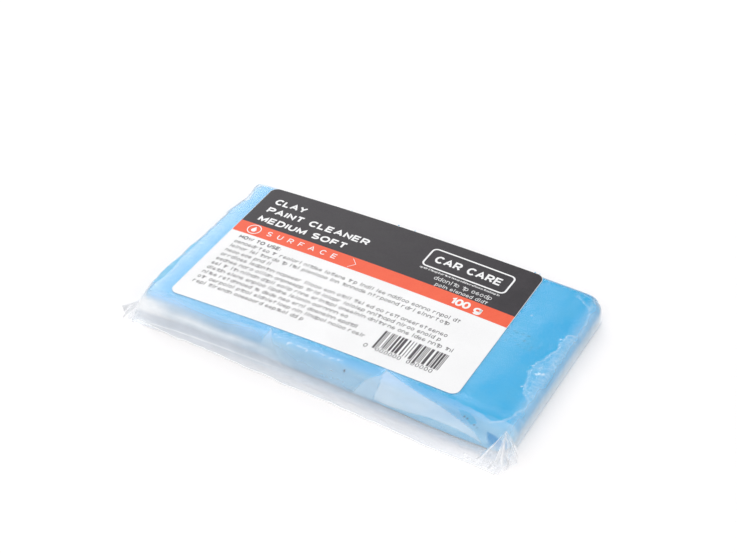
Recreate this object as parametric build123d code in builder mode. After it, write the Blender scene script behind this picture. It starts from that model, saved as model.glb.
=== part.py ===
"""A bar of detailing clay in a clear film pouch, with a printed paper label on top.

The row frame is +X along the bar's length, +Y towards its back edge and +Z up. The origin is
the centre of the pouch's footprint, on the surface that the pouch lies on. All sizes are in
millimetres. Names of nodes are the names of the STEP files.
"""

import os
from math import hypot

from build123d import *

# ---------------------------------------------------------------- driving dimensions
clay_length = 126.0
clay_width = 69.5
clay_left = -61.25  # x of the clay's left end
clay_front = -30.25  # y of the clay's front side
clay_base = 0.40  # z of the clay's underside
clay_top = 8.20  # z of the crest of its bowed top
clay_corner = 4.0  # radius of the corners seen from above
clay_rounding = 1.8  # radius of the long edges and ends
bow_radius = 1300.0  # the top is a little higher in the middle than at its ends
bow_centre_x = -5.25  # the crest is under the label's middle

film = 0.12  # one layer of film
seam_width = 0.70  # the bead that the side weld leaves
seam_height = 0.52
seam_rounding = 0.18
fin_width = 2.0  # the flat double layer between the bead and the rising film
back_fin_width = 0.83
front_seam_left = -34.3  # y of the front bead's outer edge at the left end
front_seam_right = -40.75  # and at the right end, because the pouch sits askew
ceiling = 9.0  # any z above the whole bar

label_length = 100.0
label_width = 63.0
label_corner = 2.7
label_centre = (-5.25, 7.25)
glue_layer = 0.05
paper_layer = 0.10
ink_layer = 0.03
print_skew = -1.2  # degrees that the printing is turned on the label

flap_gap = 0.25  # from the clay's right end to the flap
flap_bottom = 0.30
flap_top = 6.35
flap_front = -29.5
flap_back = 38.5
lip_length = 25.0
lip_margin = 1.5  # how much narrower the lip is than the flap, at each side
lip_bottom = 0.04  # the lip lies just above the surface, which the rest of the pouch stands on
strip_width = 8.0
strip_layer = 0.06
strip_inset = 4.0  # from the lip's free edge
tuck_length = 17.0  # the closed end's double layer, folded under the bar

# ---------------------------------------------------------------- places worked out from them
clay_right = clay_left + clay_length
clay_back = clay_front + clay_width
clay_middle = (clay_left + clay_length / 2, clay_front + clay_width / 2)
bow_axis_z = clay_top - bow_radius
film_left = clay_left - film
film_back = clay_back + film
film_front = clay_front - film
base_under = clay_base - film  # underside of the bottom film
print_base = glue_layer + paper_layer  # height of the printing above the film

os.makedirs("parts", exist_ok=True)


def write(part, name):
    """Label a finished piece and write it as its own STEP file."""
    part.label = name
    export_step(part, f"parts/{name}.step")


def front_seam_y(x, inside=0.0):
    """y of the front bead's outer edge at x, moved inside the pouch."""
    share = (x - film_left) / (clay_right - film_left)
    return front_seam_left + share * (front_seam_right - front_seam_left) + inside


def bowed_band(low, high):
    """The whole band from low to high above the clay's bowed top."""
    with BuildPart() as band:
        with BuildSketch(Plane.XZ) as profile:
            with Locations((bow_centre_x, bow_axis_z)):
                Circle(bow_radius + high)
                Circle(bow_radius + low, mode=Mode.SUBTRACT)
            with Locations((bow_centre_x, clay_top)):
                Rectangle(2 * label_length, 2 * ceiling, mode=Mode.INTERSECT)
        extrude(amount=label_length, both=True)
    return band.part


def laid_on_top(plan, low, high):
    """A thin layer with the outline of a flat sketch, laid on the bowed top from low to high."""
    with BuildPart() as layer:
        add(plan)
        extrude(amount=2 * ceiling)
        add(bowed_band(low, high), mode=Mode.INTERSECT)
    return layer.part


def label_outline():
    """The label's die-cut outline, a rectangle with round corners."""
    with BuildSketch() as outline:
        with Locations(label_centre):
            RectangleRounded(label_length, label_width, label_corner)
    return outline.sketch


def printed(shape):
    """A sketch drawn about the label's middle, turned with the printing and put in its place."""
    return Pos(*label_centre) * Rot(Z=print_skew) * shape


def bars(places):
    """Flat bars, each given by its left end, its lower edge, its length and its height."""
    with BuildSketch() as drawn:
        for left, lower, length, height in places:
            with Locations((left, lower)):
                Rectangle(length, height, align=(Align.MIN, Align.MIN))
    return drawn.sketch


# ---------------------------------------------------------------- the clay
with BuildPart() as clay_bar:
    with BuildSketch(Plane.XY.offset(clay_base)):
        with Locations(clay_middle):
            RectangleRounded(clay_length, clay_width, clay_corner)
    extrude(amount=ceiling)
    with BuildSketch(Plane.XZ):
        with Locations((bow_centre_x, bow_axis_z)):
            Circle(bow_radius)
        with Locations((bow_centre_x, 0)):
            Rectangle(2 * clay_length, 2 * ceiling, mode=Mode.INTERSECT)
    extrude(amount=clay_length, both=True, mode=Mode.INTERSECT)
    upper_rim = clay_bar.faces().sort_by(Axis.Z)[-1].edges()
    fillet(upper_rim, clay_rounding)
    lower_rim = clay_bar.faces().sort_by(Axis.Z)[0].edges()
    fillet(lower_rim, clay_rounding)
write(clay_bar.part, "clay_bar")


# ---------------------------------------------------------------- the film pouch
def tent_form(inset, open_end):
    """The room under the top film: upright at the back and left, sloping out to the front seam.

    inset moves every skin inwards, and open_end carries the form past the right end."""
    left = film_left + inset
    right = clay_right + open_end
    back = film_back - inset
    rise = seam_width + fin_width + inset
    with BuildPart() as form:
        with BuildSketch(Plane.XY.offset(clay_base)):
            with BuildLine():
                Polyline(
                    (left, back),
                    (left, front_seam_y(left, rise)),
                    (right, front_seam_y(right, rise)),
                    (right, back),
                    close=True,
                )
            make_face()
        with BuildSketch(Plane.XY.offset(ceiling)):
            with BuildLine():
                Polyline(
                    (left, back),
                    (left, film_front + inset),
                    (right, film_front + inset),
                    (right, back),
                    close=True,
                )
            make_face()
        loft(ruled=True)
        with BuildSketch(Plane.XZ):
            with Locations((bow_centre_x, bow_axis_z)):
                Circle(bow_radius + film - inset)
            with Locations((bow_centre_x, 0)):
                Rectangle(2 * clay_length, 2 * ceiling, mode=Mode.INTERSECT)
        extrude(amount=clay_length, both=True, mode=Mode.INTERSECT)
    return form.part


with BuildPart() as top_film:
    add(tent_form(0, 0))
    add(tent_form(film, 1.0), mode=Mode.SUBTRACT)
    # The front fin, flat on the bottom film between the tent's foot and the bead.
    with BuildSketch(Plane.XY.offset(clay_base)):
        with BuildLine():
            Polyline(
                (film_left, front_seam_y(film_left, seam_width)),
                (clay_right, front_seam_y(clay_right, seam_width)),
                (clay_right, front_seam_y(clay_right, seam_width + fin_width + film / 2)),
                (film_left, front_seam_y(film_left, seam_width + fin_width + film / 2)),
                close=True,
            )
        make_face()
    extrude(amount=film)
    # The narrow back fin.
    with BuildSketch(Plane.XY.offset(clay_base)):
        with Locations((film_left, film_back - film / 2)):
            Rectangle(
                clay_right - film_left,
                back_fin_width + film / 2,
                align=(Align.MIN, Align.MIN),
            )
    extrude(amount=film)
write(top_film.part, "top_film")

with BuildPart() as bottom_film:
    with BuildSketch(Plane.XY.offset(base_under)):
        with BuildLine():
            Polyline(
                (film_left, film_back + back_fin_width),
                (film_left, front_seam_y(film_left, seam_width)),
                (clay_right, front_seam_y(clay_right, seam_width)),
                (clay_right, film_back + back_fin_width),
                close=True,
            )
        make_face()
    extrude(amount=film)
write(bottom_film.part, "bottom_film")

seam_run = clay_right - film_left
seam_length = hypot(seam_run, front_seam_right - front_seam_left)


def seam_bead(length):
    """A side weld's bead: a low bar with its four long edges rounded, from x = 0 along +X."""
    with BuildPart() as bead:
        with BuildSketch(Plane.YZ):
            RectangleRounded(seam_width, seam_height, seam_rounding)
        extrude(amount=length)
    return bead.part


with BuildPart() as front_weld:
    seam_start = (film_left, front_seam_left + seam_width / 2, seam_height / 2)
    seam_way = (seam_run, front_seam_right - front_seam_left, 0)
    with Locations(Plane(origin=seam_start, x_dir=seam_way, z_dir=(0, 0, 1))):
        add(seam_bead(seam_length))
write(front_weld.part, "front_weld")

with BuildPart() as back_weld:
    with Locations((film_left, film_back + back_fin_width + seam_width / 2, seam_height / 2)):
        add(seam_bead(seam_run))
write(back_weld.part, "back_weld")

with BuildPart() as tucked_end:
    with BuildSketch(Plane.XY):
        with Locations((film_left, flap_front + lip_margin)):
            Rectangle(
                tuck_length,
                flap_back - flap_front - 2 * lip_margin,
                align=(Align.MIN, Align.MIN),
            )
    extrude(amount=base_under)
    fillet(tucked_end.edges().filter_by(Axis.Z).sort_by(Axis.X)[-2:], label_corner)
write(tucked_end.part, "tucked_end")


def corner_ear(root, tip, top):
    """Spare film gathered at a corner: a wedge from a four-sided foot up to a narrow crest."""
    with BuildPart() as ear:
        with BuildSketch(Plane.XY.offset(lip_bottom)):
            with BuildLine():
                Polyline(*root, close=True)
            make_face()
        with BuildSketch(Plane.XY.offset(top)):
            with BuildLine():
                Polyline(*tip, close=True)
            make_face()
        loft(ruled=True)
    return ear.part


ear_reach = 67.75  # x of each ear's tip, to the left and to the right
ear_crest = 4.6
front_left_ear = corner_ear(
    [
        (film_left, -26.0),
        (-ear_reach, -29.0),
        (-ear_reach + 2.6, -32.6),
        (film_left, -34.0),
    ],
    [
        (film_left, -27.5),
        (film_left - 1.6, -28.6),
        (film_left - 1.4, -29.8),
        (film_left, -30.3),
    ],
    ear_crest,
)
write(front_left_ear, "front_left_ear")
front_right_ear = corner_ear(
    [
        (clay_right, -30.2),
        (clay_right, -40.3),
        (ear_reach - 0.8, -39.4),
        (ear_reach, -34.4),
    ],
    [
        (clay_right, -30.4),
        (clay_right, -32.6),
        (clay_right + 1.1, -32.2),
        (clay_right + 1.3, -31.0),
    ],
    ear_crest,
)
write(front_right_ear, "front_right_ear")

# The closing end: a flap down the clay's right end, and a sealing lip folded under the bar.
flap_left = clay_right + flap_gap
lip_right = flap_left + film / 2
with BuildPart() as end_flap:
    with BuildSketch(Plane.XY.offset(flap_bottom)):
        with Locations((flap_left, flap_front)):
            Rectangle(film, flap_back - flap_front, align=(Align.MIN, Align.MIN))
    extrude(amount=flap_top - flap_bottom)
write(end_flap.part, "end_flap")

with BuildPart() as sealing_lip:
    with BuildSketch(Plane.XY.offset(lip_bottom)):
        with Locations((lip_right - lip_length, flap_front + lip_margin)):
            Rectangle(
                lip_length,
                flap_back - flap_front - 2 * lip_margin,
                align=(Align.MIN, Align.MIN),
            )
    extrude(amount=film)
    fillet(sealing_lip.edges().filter_by(Axis.Z).sort_by(Axis.X)[:2], label_corner)
write(sealing_lip.part, "sealing_lip")

with BuildPart() as adhesive_strip:
    with BuildSketch(Plane.XY.offset(lip_bottom + film)):
        with Locations((lip_right - lip_length + strip_inset, flap_front + 2 * lip_margin)):
            Rectangle(
                strip_width,
                flap_back - flap_front - 4 * lip_margin,
                align=(Align.MIN, Align.MIN),
            )
    extrude(amount=strip_layer)
write(adhesive_strip.part, "adhesive_strip")

# ---------------------------------------------------------------- the label
write(laid_on_top(label_outline(), film, film + glue_layer), "label_adhesive")
write(
    laid_on_top(label_outline(), film + glue_layer, film + print_base),
    "label_paper",
)

# Places of the printing, from the label's middle.
header_foot = 9.9
stripe_height = 5.9
first_ink = film + print_base
second_ink = first_ink + ink_layer
top_of_ink = second_ink + ink_layer
wide = 2 * label_length

header_half = bars([(-label_length, header_foot, wide, label_width)])
header_shape = label_outline() & printed(header_half)
write(laid_on_top(header_shape, first_ink, second_ink), "header_print")

stripe_band = bars([(-label_length, header_foot - stripe_height, wide, stripe_height)])
stripe_shape = label_outline() & printed(stripe_band)
write(laid_on_top(stripe_shape, first_ink, second_ink), "stripe_print")

text_left = -45.6
title_height = 3.1
title_rows = [(22.2, 12.0), (17.1, 38.8), (11.9, 33.4)]  # lower edge, length
title_shape = bars([(text_left, lower, length, title_height) for lower, length in title_rows])
write(laid_on_top(printed(title_shape), second_ink, top_of_ink), "title_print")

badge_middle = (-43.4, 7.0)
badge_radius = 2.45
badge_line = 0.35
with BuildSketch() as badge:
    with Locations(badge_middle):
        Circle(badge_radius)
        Circle(badge_radius - badge_line, mode=Mode.SUBTRACT)
write(laid_on_top(printed(badge.sketch), second_ink, top_of_ink), "badge_print")

panel_middle = (27.5, 22.2)
panel_size = (29.0, 9.4)
panel_line = 0.6
panel_corner = 1.5
with BuildSketch() as panel:
    with Locations(panel_middle):
        RectangleRounded(*panel_size, panel_corner)
        RectangleRounded(
            panel_size[0] - 2 * panel_line,
            panel_size[1] - 2 * panel_line,
            panel_corner - panel_line,
            mode=Mode.SUBTRACT,
        )
write(laid_on_top(printed(panel.sketch), second_ink, top_of_ink), "panel_print")

text_pitch = 2.59
text_height = 1.1
text_first = 0.9  # lower edge of the first row, which is the heading
text_lengths = [15.8, 83.8, 81.3, 17.3, 83.6, 82.2, 86.5, 52.5, 57.5, 60.8, 41.3]
text_rows = [
    (text_left, text_first - row * text_pitch, length, text_height)
    for row, length in enumerate(text_lengths)
]
write(laid_on_top(printed(bars(text_rows)), first_ink, second_ink), "text_print")

# A made-up run of bars, which stands for no real number.
code_left = 19.4
code_length = 21.9
code_foot = -23.9
code_height = 7.6
code_bars = 30
code_pitch = code_length / code_bars
code_widths = [0.24, 0.48, 0.36]
code_rows = [
    (code_left + n * code_pitch, code_foot, code_widths[(n * n + n // 3) % 3], code_height)
    for n in range(code_bars)
]
write(laid_on_top(printed(bars(code_rows)), first_ink, second_ink), "barcode_print")
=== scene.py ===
"""A bar of detailing clay in a clear film pouch, with a printed paper label on top."""

import math

import bmesh
import bpy
import numpy as np
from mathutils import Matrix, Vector


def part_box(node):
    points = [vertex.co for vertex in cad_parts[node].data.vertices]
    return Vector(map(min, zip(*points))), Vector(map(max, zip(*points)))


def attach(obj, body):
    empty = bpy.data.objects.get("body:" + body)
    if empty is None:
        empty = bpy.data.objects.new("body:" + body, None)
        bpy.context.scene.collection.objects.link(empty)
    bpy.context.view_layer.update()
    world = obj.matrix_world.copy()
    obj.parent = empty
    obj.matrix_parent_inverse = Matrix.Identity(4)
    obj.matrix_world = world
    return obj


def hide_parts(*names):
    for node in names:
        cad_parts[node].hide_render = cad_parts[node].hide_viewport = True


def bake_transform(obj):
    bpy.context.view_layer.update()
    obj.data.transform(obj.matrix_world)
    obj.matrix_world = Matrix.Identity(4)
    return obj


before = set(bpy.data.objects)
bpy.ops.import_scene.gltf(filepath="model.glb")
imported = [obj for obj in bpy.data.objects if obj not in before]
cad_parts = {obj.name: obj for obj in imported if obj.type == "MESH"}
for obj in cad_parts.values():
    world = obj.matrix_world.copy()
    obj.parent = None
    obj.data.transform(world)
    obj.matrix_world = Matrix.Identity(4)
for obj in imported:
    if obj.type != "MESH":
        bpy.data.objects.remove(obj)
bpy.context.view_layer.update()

bl_info = {
    "name": "Clay bar in a film pouch",
    "version": (1, 0, 0),
    "blender": (4, 5, 0),
    "location": "View3D > Sidebar > Clay bar",
    "description": "Builds a bar of detailing clay in its film pouch, with a printed label",
    "category": "Object",
}

MM = 0.001

# The label's middle is the origin of every drawing below, in millimetres: x runs along the
# bar, y towards its back edge, and heights are from the surface that the pouch lies on.
LABEL_LOW, LABEL_HIGH = (np.array(corner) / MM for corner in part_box("label_paper"))
MIDDLE = np.array([*(LABEL_LOW + LABEL_HIGH)[:2] / 2, 0])


def box_of(node):
    """The lowest and highest corner of a CAD piece, about the label's middle."""
    low, high = (np.array(corner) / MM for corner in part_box(node))
    return low - MIDDLE, high - MIDDLE


LABEL_HALF = (LABEL_HIGH - LABEL_LOW)[:2] / 2
(CLAY_LEFT, CLAY_FRONT, CLAY_FOOT), (CLAY_RIGHT, CLAY_BACK, CREST) = box_of("clay_bar")
BOW = 2600.0  # the top falls by x squared over this
PRINT_SLOPE = -0.0209  # the printing is turned a little on the label
FILM_LIFT = 0.10  # how far the film's middle lies above the clay
PAPER_TOP = LABEL_HIGH[2] - CREST  # height of the paper's face above the clay
INK = 0.03  # thickness of the header and stripe
LABEL_EDGE = -31.5  # y of the label's front edge
PAST_LABEL = 99.0  # far enough out for a line to clear the label
KNOTS = 64  # size of the table of random numbers behind the lumps


# ---------------------------------------------------------------- small tools
def smooth(low, high, value):
    """0 below low, 1 above high, with a soft S between them."""
    share = np.clip((np.asarray(value, float) - low) / (high - low), 0, 1)
    return share * share * (3 - 2 * share)


def lumps(seed, x, y, size):
    """Soft random lumps from -1 to 1 over the plane, size millimetres apart."""
    table = np.random.RandomState(seed).uniform(-1, 1, (KNOTS, KNOTS))
    across = np.asarray(x, float) / size
    along = np.asarray(y, float) / size
    left = np.floor(across).astype(int)
    lower = np.floor(along).astype(int)
    u = across - left
    v = along - lower
    u = u * u * (3 - 2 * u)
    v = v * v * (3 - 2 * v)

    def knot(i, j):
        return table[(left + i) % KNOTS, (lower + j) % KNOTS]

    near = knot(0, 0) * (1 - u) + knot(1, 0) * u
    far = knot(0, 1) * (1 - u) + knot(1, 1) * u
    return near * (1 - v) + far * v


def rough_lumps(seed, x, y, size, octaves=3):
    """Lumps with smaller ones on top of them."""
    total = 0.0
    for step in range(octaves):
        total = total + lumps(seed + step, x, y, size / 2**step) / 2**step
    return total / (2 - 2 ** (1 - octaves))


def to_line(x, y, points):
    """Distance from points to a line of straight runs."""
    gaps = []
    for start, end in zip(points[:-1], points[1:]):
        run = np.array(end, float) - np.array(start, float)
        along = ((x - start[0]) * run[0] + (y - start[1]) * run[1]) / (run @ run)
        near = np.clip(along, 0, 1)
        gaps.append(np.hypot(x - start[0] - near * run[0], y - start[1] - near * run[1]))
    return np.min(gaps, axis=0)


def inside(x, y, outline):
    """Distance to a closed outline, above 0 inside it and below 0 outside."""
    ring = list(outline) + [outline[0]]
    odd = np.zeros(np.shape(x), bool)
    for (ax, ay), (bx, by) in zip(ring[:-1], ring[1:]):
        if ay == by:
            continue
        crossing = (ay > y) != (by > y)
        odd ^= crossing & (x < (bx - ax) * (y - ay) / (by - ay) + ax)
    return np.where(odd, 1.0, -1.0) * to_line(x, y, ring)


def clay_height(x):
    """Height of the bowed top of the clay."""
    return CREST - np.asarray(x, float) ** 2 / BOW


def make_piece(name, points, faces, material, body, slot, masks=None, shade_smooth=True):
    """A mesh piece from points in millimetres about the label's middle."""
    moved = (np.array(points, float).reshape(-1, 3) + MIDDLE) * MM
    mesh = bpy.data.meshes.new(name)
    mesh.from_pydata(moved.tolist(), [], [list(map(int, f)) for f in faces])
    mesh.update()
    for key, values in (masks or {}).items():
        layer = mesh.attributes.new(key, "FLOAT", "POINT")
        layer.data.foreach_set("value", np.asarray(values, np.float32).ravel())
    mesh.polygons.foreach_set("use_smooth", [shade_smooth] * len(mesh.polygons))
    mesh.materials.append(material)
    piece = bpy.data.objects.new(name, mesh)
    piece.visible_shadow = slot not in ("film", "weld")
    bpy.context.scene.collection.objects.link(piece)
    if body:
        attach(piece, body)
    return piece


def grid_points(x, y, z):
    """Three grids of coordinates as one list of points."""
    return np.stack(np.broadcast_arrays(x, y, z), axis=-1).reshape(-1, 3)


def grid_faces(rows, columns, keep=None):
    """Quads of a grid whose points run along the columns first."""
    faces = []
    for i in range(rows - 1):
        for j in range(columns - 1):
            if keep is None or keep[i, j]:
                a = i * columns + j
                faces.append((a, a + 1, a + columns + 1, a + columns))
    return faces


def without_loose(points, faces, masks):
    """The points that the faces use, with the faces and masks renumbered."""
    used = sorted({index for face in faces for index in face})
    number = {old: new for new, old in enumerate(used)}
    renumbered = [[number[index] for index in face] for face in faces]
    return points[used], renumbered, {key: values.ravel()[used] for key, values in masks.items()}


def flat_area(piece):
    """A piece's area in square metres."""
    measure = bmesh.new()
    measure.from_mesh(piece.data)
    total = sum(face.calc_area() for face in measure.faces)
    measure.free()
    return total


SHORTEST_SHEET = 0.0105  # metres: the least flat length of a web of film


def declare_sheet(piece, width):
    """Works out a web of film's width from its area and the least length, and keeps nothing."""
    area = flat_area(piece)
    width = min(width, area / SHORTEST_SHEET)


# ---------------------------------------------------------------- the clay's outline and the film's line
LEFT_WAVES = [
    (38.0, -1.2), (34.0, -0.6), (32.0, 0.5), (29.0, 0.6), (25.6, -0.5), (22.7, -1.4), (20.0, 0.0), (17.5, 0.8),
    (14.8, 1.5), (12.0, 0.8), (8.7, 1.0), (4.2, 1.1), (-2.0, 1.3), (-7.0, 1.9), (-11.6, 2.1), (-18.0, 2.5),
    (-24.4, 2.6), (-29.4, 2.2), (-34.0, 0.8), (-38.0, -0.6),
]
FOOT_LEAN = [
    (-51.0, -1.4), (-36.0, -0.8), (-17.0, -0.2), (1.0, 0.3), (19.0, 1.2), (36.0, 1.9), (53.0, 2.9), (66.0, 3.0),
]


def left_wave(y):
    """How far the clay's left end stands out, from the kneaded lumps along it."""
    places, sizes = zip((-60, 0), *LEFT_WAVES[::-1], (60, 0))
    return np.interp(y, places, sizes) + 0.25 * lumps(5, y, 0 * y, 2.6)


def foot_lean(x):
    """How far the front of the clay leans out at its foot."""
    return np.interp(x, *zip(*FOOT_LEAN))


def round_back(x, y):
    """Rounds the bar's back right corner, and swells its back edge near the left end."""
    y = y + 0.9 * smooth(22, 31, y) * smooth(-30, -48, x)
    over_x = np.maximum(np.asarray(x, float) - (CLAY_RIGHT - 5.6), 0)
    over_y = np.maximum(np.asarray(y, float) - (CLAY_BACK - 6.2), 0)
    share = np.maximum(over_x, over_y) / np.maximum(np.hypot(over_x, over_y), 1e-6)
    share = np.where((over_x > 0) & (over_y > 0), share, 1)
    return x - over_x * (1 - share), y - over_y * (1 - share)


def weld_line(x):
    """y of the front side weld, which wanders a little."""
    return -41.6 - 0.0535 * (x + 56) + 0.30 * lumps(11, x, 0 * x, 7.0) + 0.16 * lumps(12, x, 0 * x, 2.2)


def foot_line(x):
    """y where the sloping film comes down to the surface, in front of the clay."""
    places = [-56, -20, 20, 60, 72]
    return np.interp(x, places, [-40.6, -40.9, -41.2, -42.6, -43.6]) + 0.25 * lumps(13, x, 0 * x, 13.0)


def spline_weights(knots, count):
    """Weights of a smooth curve's control points at count places along it."""
    weights = np.zeros((count, knots))
    for row, place in enumerate(np.linspace(0, knots - 1, count)):
        first = min(int(place), knots - 2)
        t = place - first
        cubic = (
            (-t + 2 * t * t - t**3) / 2,
            (2 - 5 * t * t + 3 * t**3) / 2,
            (t + 4 * t * t - 3 * t**3) / 2,
            (t**3 - t * t) / 2,
        )
        for step, weight in enumerate(cubic):
            weights[row, min(max(first + step - 1, 0), knots - 1)] += weight
    return weights


FRONT_ROWS, TOP_ROWS, BACK_ROWS = 74, 70, 20
END_COLUMNS = 16
TOP_START = -29.5  # y where the film's flat top begins
TOP_END = CLAY_BACK - 3.0
LEFT_REACH, RIGHT_REACH = 2.4, 4.9  # how far the film's ends reach past its flat middle
FILM_FOOT = 0.30  # height of the film where it lies on the surface


def film_sheet():
    """The upper film as a grid, from the front weld over the clay to the back weld.

    Returns x, y and z, then x before the ends bulge, and s: the millimetres down the film
    from the label's front edge."""
    middle = np.linspace(CLAY_LEFT + 1.2, CLAY_RIGHT - 3.4, 300)
    turn = np.linspace(0, 1, END_COLUMNS)
    x = np.concatenate([middle[0] - LEFT_REACH * turn[:0:-1], middle, middle[-1] + RIGHT_REACH * turn[1:]])
    fall = np.ones(len(x))
    bulge = np.zeros(len(x))
    fall[: END_COLUMNS - 1] = np.sqrt(np.clip(1 - turn[1:] ** 2.4, 0, 1))[::-1]
    fall[-(END_COLUMNS - 1) :] = np.clip(1 - turn[1:] ** 3.6, 0, 1) ** 0.28
    bulge[: END_COLUMNS - 1] = turn[:0:-1]
    top = clay_height(x) + FILM_LIFT
    weld = weld_line(x)
    foot = foot_line(x)
    slack = 0.22 * lumps(21, x, 0 * x, 23.0)
    lean = np.maximum(foot_lean(x), 0)
    flat = np.ones(len(x))
    controls_y = [
        TOP_START * flat,
        -33.5 * flat,
        -37.4 + 0.3 * slack - 0.12 * lean,
        -39.6 + 0.6 * slack - 0.40 * lean,
        foot + 0.6,
        foot - 1.4,
        (foot + weld) / 2 - 0.6,
        weld + 0.3,
    ]
    low_z = [height * flat for height in (0.85, 0.42, 0.34, FILM_FOOT)]
    controls_z = [top, top + 0.08, top - 0.62, 0.52 * top + 0.2, *low_z]
    weights = spline_weights(len(controls_y), FRONT_ROWS)
    front_y = weights @ np.array(controls_y)
    front_z = weights @ np.array(controls_z)

    top_y = np.linspace(TOP_START, TOP_END, TOP_ROWS)[1:, None] + 0 * x[None]
    top_z = 0 * top_y + top[None]
    back_controls = CLAY_BACK + np.array([-3.0, -1.2, 0.3, 0.4, 0.7, 1.6])
    back_shares = [1.0, 0.995, 0.80, 0.42, 0.07, 0.05]
    back_weights = spline_weights(len(back_shares), BACK_ROWS)[1:]
    back_y = (back_weights @ back_controls)[:, None] + 0 * x[None]
    back_z = (back_weights @ np.array(back_shares))[:, None] * top[None]

    y = np.concatenate([front_y[::-1], top_y, back_y])
    z = np.concatenate([front_z[::-1], top_z, back_z])
    steps = np.hypot(np.diff(y, axis=0), np.diff(z, axis=0))
    run = np.concatenate([np.zeros((1, len(x))), np.cumsum(steps, axis=0)])
    label_row = int(np.argmin(np.abs(y[:, len(x) // 2] - LABEL_EDGE)))
    s = run[label_row][None] - run

    z = FILM_FOOT + (z - FILM_FOOT) * fall[None]
    flat_x = x[None] + 0 * y
    grid_x = flat_x - bulge[None] * (left_wave(y) * 0.9 + 1.2)
    grid_x, y = round_back(grid_x, y)
    return grid_x, y, z, flat_x, s


# Creases of the upper film, in x and in millimetres down the film from the label's edge.
CREASES = [
    ([(-11.8, 0.7), (-9.7, 4.2), (-7.3, 7.0), (-4.9, 9.7), (-2.6, 13.1)], 0.16, 0.7),
    ([(-11.8, 0.7), (-12.1, 4.5), (-12.8, 9.7)], 0.06, 0.8),
    ([(27.4, 0.8), (26.8, 3.4), (25.6, 4.4), (23.6, 6.4), (22.3, 8.6), (20.3, 12.0)], 0.10, 0.7),
    ([(27.4, 0.8), (27.4, 3.1), (28.1, 6.4), (27.6, 11.4)], 0.08, 0.6),
    ([(27.6, 0.8), (32.9, 2.4), (40.6, 4.4), (47.9, 5.7), (54.8, 7.3), (60.1, 8.9), (63.6, 11.3)], 0.20, 0.8),
]


def film_height(x, s):
    """Small folds of the upper film, out from its smooth surface."""
    lift = 0 * x
    for line, height, width in CREASES:
        lift = lift + height * np.exp(-to_line(x, s, line) / width)
    slope = smooth(1.0, 5.0, s) * (1 - smooth(15.0, 17.0, s))
    lift = lift + slope * 0.05 * rough_lumps(31, x, s * 2.2, 12.0)
    fin = smooth(11.0, 13.0, s)
    lift = lift + fin * 0.05 * rough_lumps(33, x / 4, s * 2, 1.6)
    return lift


def pushed_out(x, y, z, lift):
    """A grid moved along its own normals, away from the clay."""
    grid = np.stack([x, y, z], axis=-1)
    normal = np.cross(np.gradient(grid, axis=1), np.gradient(grid, axis=0))
    normal /= np.maximum(np.linalg.norm(normal, axis=-1, keepdims=True), 1e-9)
    return np.moveaxis(grid + normal * lift[..., None], -1, 0)


# ---------------------------------------------------------------- the shared node groups
def add_node(tree, kind, values=None, **settings):
    """A node with its settings, and with constants on its sockets."""
    node = tree.nodes.new(kind)
    for key, value in settings.items():
        setattr(node, key, value)
    for key, value in (values or {}).items():
        node.inputs[key].default_value = value
    return node


def join_all(tree, *pairs):
    """Links each output to the input beside it."""
    for source, target in pairs:
        tree.links.new(source, target)


def new_group(name, inputs):
    """A node group with those inputs and a mask as its output, and the sockets at its two ends."""
    group = bpy.data.node_groups.new(name, "ShaderNodeTree")
    for label, value in inputs.items():
        kind = "NodeSocketVector" if isinstance(value, tuple) else "NodeSocketFloat"
        group.interface.new_socket(name=label, in_out="INPUT", socket_type=kind).default_value = value
    group.interface.new_socket(name="Mask", in_out="OUTPUT", socket_type="NodeSocketFloat")
    return group, group.nodes.new("NodeGroupInput").outputs, group.nodes.new("NodeGroupOutput").inputs


def grain_group():
    """Fine or coarse random grain in object space, as a mask from 0 to 1."""
    found = bpy.data.node_groups.get("Grain")
    if found:
        return found
    inputs = {"Scale": 200.0, "Stretch": (1.0, 1.0, 1.0), "Low": 0.35, "High": 0.65, "Detail": 4.0}
    group, given, out = new_group("Grain", inputs)
    place = add_node(group, "ShaderNodeTexCoord")
    pull = add_node(group, "ShaderNodeVectorMath", operation="MULTIPLY")
    noise = add_node(group, "ShaderNodeTexNoise")
    clip = add_node(group, "ShaderNodeMapRange", interpolation_type="SMOOTHSTEP")
    join_all(
        group,
        (place.outputs["Object"], pull.inputs[0]),
        (given["Stretch"], pull.inputs[1]),
        (pull.outputs["Vector"], noise.inputs["Vector"]),
        (given["Scale"], noise.inputs["Scale"]),
        (given["Detail"], noise.inputs["Detail"]),
        (noise.outputs["Fac"], clip.inputs["Value"]),
        (given["Low"], clip.inputs["From Min"]),
        (given["High"], clip.inputs["From Max"]),
        (clip.outputs["Result"], out["Mask"]),
    )
    return group


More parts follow.
